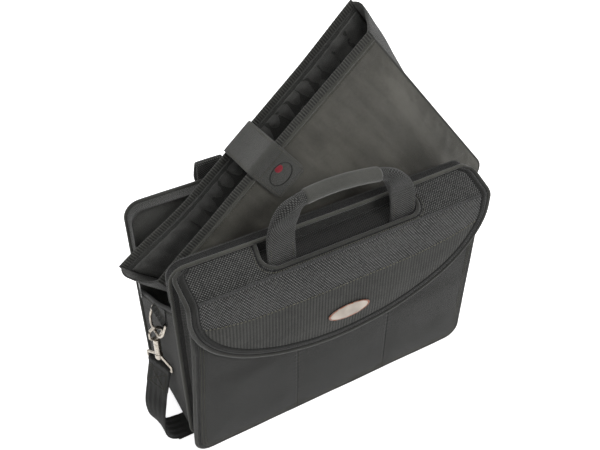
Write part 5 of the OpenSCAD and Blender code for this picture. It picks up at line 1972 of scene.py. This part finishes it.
def make_strap_ends():
    yaw, fall = Matrix.Rotation(radians(20), 4, "Z"), Matrix.Rotation(radians(15.5), 4, "Y")
    base = Matrix.Translation((-220.17, -2, 117.48)) @ yaw @ Matrix.Translation((0, 0, -16)) @ fall
    path = [(-0.95, -38), (-0.95, -30), (-0.95, -20), (-0.95, -10), (-1.3, -6.5), (-2.2, -3.4)]
    path += [(2.9 * cos(radians(a)), 2.9 * sin(radians(a))) for a in range(200, -21, -20)]
    path += [(2.2, -3.4), (1.3, -6.5), (0.95, -10), (0.95, -20), (0.95, -30), (0.95, -38)]
    for s, name in ((-1, "left"), (1, "right")):
        rings = []
        for i, (x, z) in enumerate(path):
            a, b = path[max(i - 1, 0)], path[min(i + 1, len(path) - 1)]
            along = Vector((b[0] - a[0], 0, b[1] - a[1])).normalized()
            out = Vector((along.z, 0, -along.x))
            section = ring(Vector((x, 0, z)), Vector((0, 18.7, 0)), out * 0.88, 6, 20)
            rings.append([on_side(s, base @ p) for p in section])
        end = loft(f"strap_end_{name}", rings, sharp=50)
        fit(end, "bag", "webbing", [strap_cloth], *(("strap_ends",) if s < 0 else ()))
        def seam(depth, points):
            return even([on_side(s, base @ Vector((depth, y, z))) for y, z in points], 3)
        if s < 0:
            sewn = [seam(-1.95, BOX), seam(-1.95, CROSS)]
        else:
            sewn = [seam(-2.5, ((-15, -5.2), (15, -5.2)))]
        sew(f"strap_end_stitches_{name}", "bag", sewn, 3.0)


make_strap_ends()

# %% [markdown]
# ## Seam stitches on the body
# Double rows hold the pocket to the front panel along its edge and its two divisions, and a
# single row runs inside the rear piping. The pocket's open edge is hemmed with tape. The
# rows use the panel planes, so they follow each lean and the spread of the front.

# %% Seam stitches on the body
def make_body_stitches():
    lines = []
    for inset in (9.5, 13):
        depth = 3.9 + 0.35 * (inset - 9) / 3
        lines.append([front(x, z, -depth) for x, z, _, _ in under(FRONT_W, inset, 218, 218, 5)])
    for x in (-69.6, -66.4, 66.4, 69.6):
        lines.append([front(x, z, -4.15) for z in range(12, 216, 6)])
    lines.append([front(x, 219, -4.6) for x in range(-192, 193, 6)])
    sew("front_stitches", "bag", lines, 3.3)
    around = [rear(x, z, 2.6) for x, z, _, _ in edge_loop(BAG_W, REAR_H, 9.5, 5)]
    sew("rear_stitches", "bag", [around + around[:1]], 3.4)
    hem = [ring(Vector((x, -82.9 - 0.2 * wave((x, 0, 0), 25), 221)),
                Vector((0, 1.5, 0)), Vector((0, 0, 2.6)), 3, 12) for x in range(-196, 197, 6)]
    fit(loft("pocket_hem", hem), "bag", "binding", [bind_cloth])


make_body_stitches()

# %% [markdown]
# ## Kept CAD parts
# Hooks, gates, rings, zip sliders and the board are exact in the CAD model, and a second
# version in mesh could only be worse. They keep their shape, and their grey CAD material
# is exchanged for a finish made of nodes.

# %% Kept CAD parts
KEPT = {
    "d_rings": nickel, "strap_loops": nickel, "left_hook": nickel, "right_hook": nickel,
    "left_gate": gate_metal, "right_gate": gate_metal, "strap_slider": black_plastic,
    "base_board": board_paint, "left_zip_slider": zip_metal, "right_zip_slider": zip_metal,
    "left_zip_puller": zip_metal, "right_zip_puller": zip_metal, "pocket_zip_slider": zip_metal,
    "pocket_zip_puller": zip_metal, "pocket_loop_patches": hook_tape,
    "flap_hook_patches": hook_tape,
    "sleeve_loop_patch": hook_tape, "tab_hook_patch": hook_tape,
}
for node_name, finish in KEPT.items():
    for place in frame["nodes"][node_name].material_slots:
        place.material = finish
print("CAD parts kept:", ", ".join(KEPT))

# %% [markdown]
# ## Lamps
# A catalogue photograph is lit by large soft boxes. A disk lamp is such a box: a broad key
# from the front, a lamp above and weaker ones to open the shadows. Their strengths are low
# enough that a colour renders about as it is written.

# %% Lamps
def area_light(name, place, target, size, power):
    data = bpy.data.lights.new(name, "AREA")
    data.shape, data.size, data.energy = "DISK", size, power
    light = bpy.data.objects.new(name, data)
    way = Vector(target) - Vector(place)
    turn = way.to_track_quat("-Z", "Y").to_matrix().to_4x4()
    light.matrix_world = Matrix.Translation(place) @ turn
    bpy.context.scene.collection.objects.link(light)


LAMPS = {"key": ((0.9, -2.3, 2.3), (0, 0, 0.2), 1.2, 37),
         "front_fill": ((-0.7, -1.6, 2.3), (0, 0, 0.25), 1.6, 8),
         "top_light": ((0.2, 0.5, 2.8), (0, 0, 0.2), 1.4, 24),
         "left_fill": ((-2.2, -0.9, 1.0), (0, 0, 0.2), 1.2, 5),
         "rear_light": ((0.6, 2.4, 1.5), (0, 0, 0.2), 1.4, 9)}
for lamp_name, lamp in LAMPS.items():
    area_light(lamp_name, *lamp)
print("lamps:", len(LAMPS))

# %% [markdown]
# ## White background
# The background is white, but white lamps on it would burn out the bag. Light Path tells
# which rays show the background, seen, mirrored or seen through: for those the floor and
# the world are bright, and for the light that falls on the bag they stay dim. The floor
# keeps a little of its own shading, so the bag still stands on its shadow.

# %% White background
def straight_rays(tree):
    """1 for rays that show the background: seen, mirrored or seen through."""
    seen = tree.node("ShaderNodeLightPath", output="Is Camera Ray")
    mirrored, through = seen.out("Is Glossy Ray"), seen.out("Is Transmission Ray")
    return (seen + mirrored + through).maths("MINIMUM", 1.0)


FLOOR_HALF, FLOOR_GLOW = 9.0, 0.8
WHITE = (1, 1, 1, 1)


def make_floor():
    mesh = bpy.data.meshes.new("floor")
    corners = [(x * FLOOR_HALF, y * FLOOR_HALF, 0) for x, y in ((-1, -1), (1, -1), (1, 1), (-1, 1))]
    mesh.from_pydata(corners, [], [(0, 1, 2, 3)])
    floor = add_object("floor", mesh)
    paint = Paint("white_floor")
    paint.feed("Base Color", paint.mix(paint.noise(400, 2), colour("#fbfbfb"), colour("#ffffff")))
    paint.set(Roughness=0.9, Specular_IOR_Level=0.0, Emission_Color=WHITE)
    paint.feed("Emission Strength", straight_rays(paint) * FLOOR_GLOW)
    mesh.materials.append(paint.material)


def make_world():
    """White where it is looked at; a dim sky, brighter above, where it lights the bag."""
    world = bpy.data.worlds.new("studio")
    world.use_nodes = True
    sky = Tree(world.node_tree)
    way = sky.node("ShaderNodeTexCoord", output="Generated")
    height = sky.node("ShaderNodeSeparateXYZ", None, {0: way}, "Z")
    glow = sky.node("ShaderNodeMapRange", None, {"Value": height, "From Min": -0.1, "From Max": 0.8,
                                                 "To Min": 0.12, "To Max": 0.42}, "Result")
    back = sky.nodes["Background"]
    sky.join(straight_rays(sky).maths("MAXIMUM", glow), back.inputs["Strength"])
    sky.join(WHITE, back.inputs["Color"])
    bpy.context.scene.world = world


make_floor()
make_world()
print("background and floor made")

# %% [markdown]
# ## Finish
# The stitch and tooth items have done their work and go.

# %% Finish
for tool in (STITCH, BOLD, TOOTH):
    bpy.data.objects.remove(tool)
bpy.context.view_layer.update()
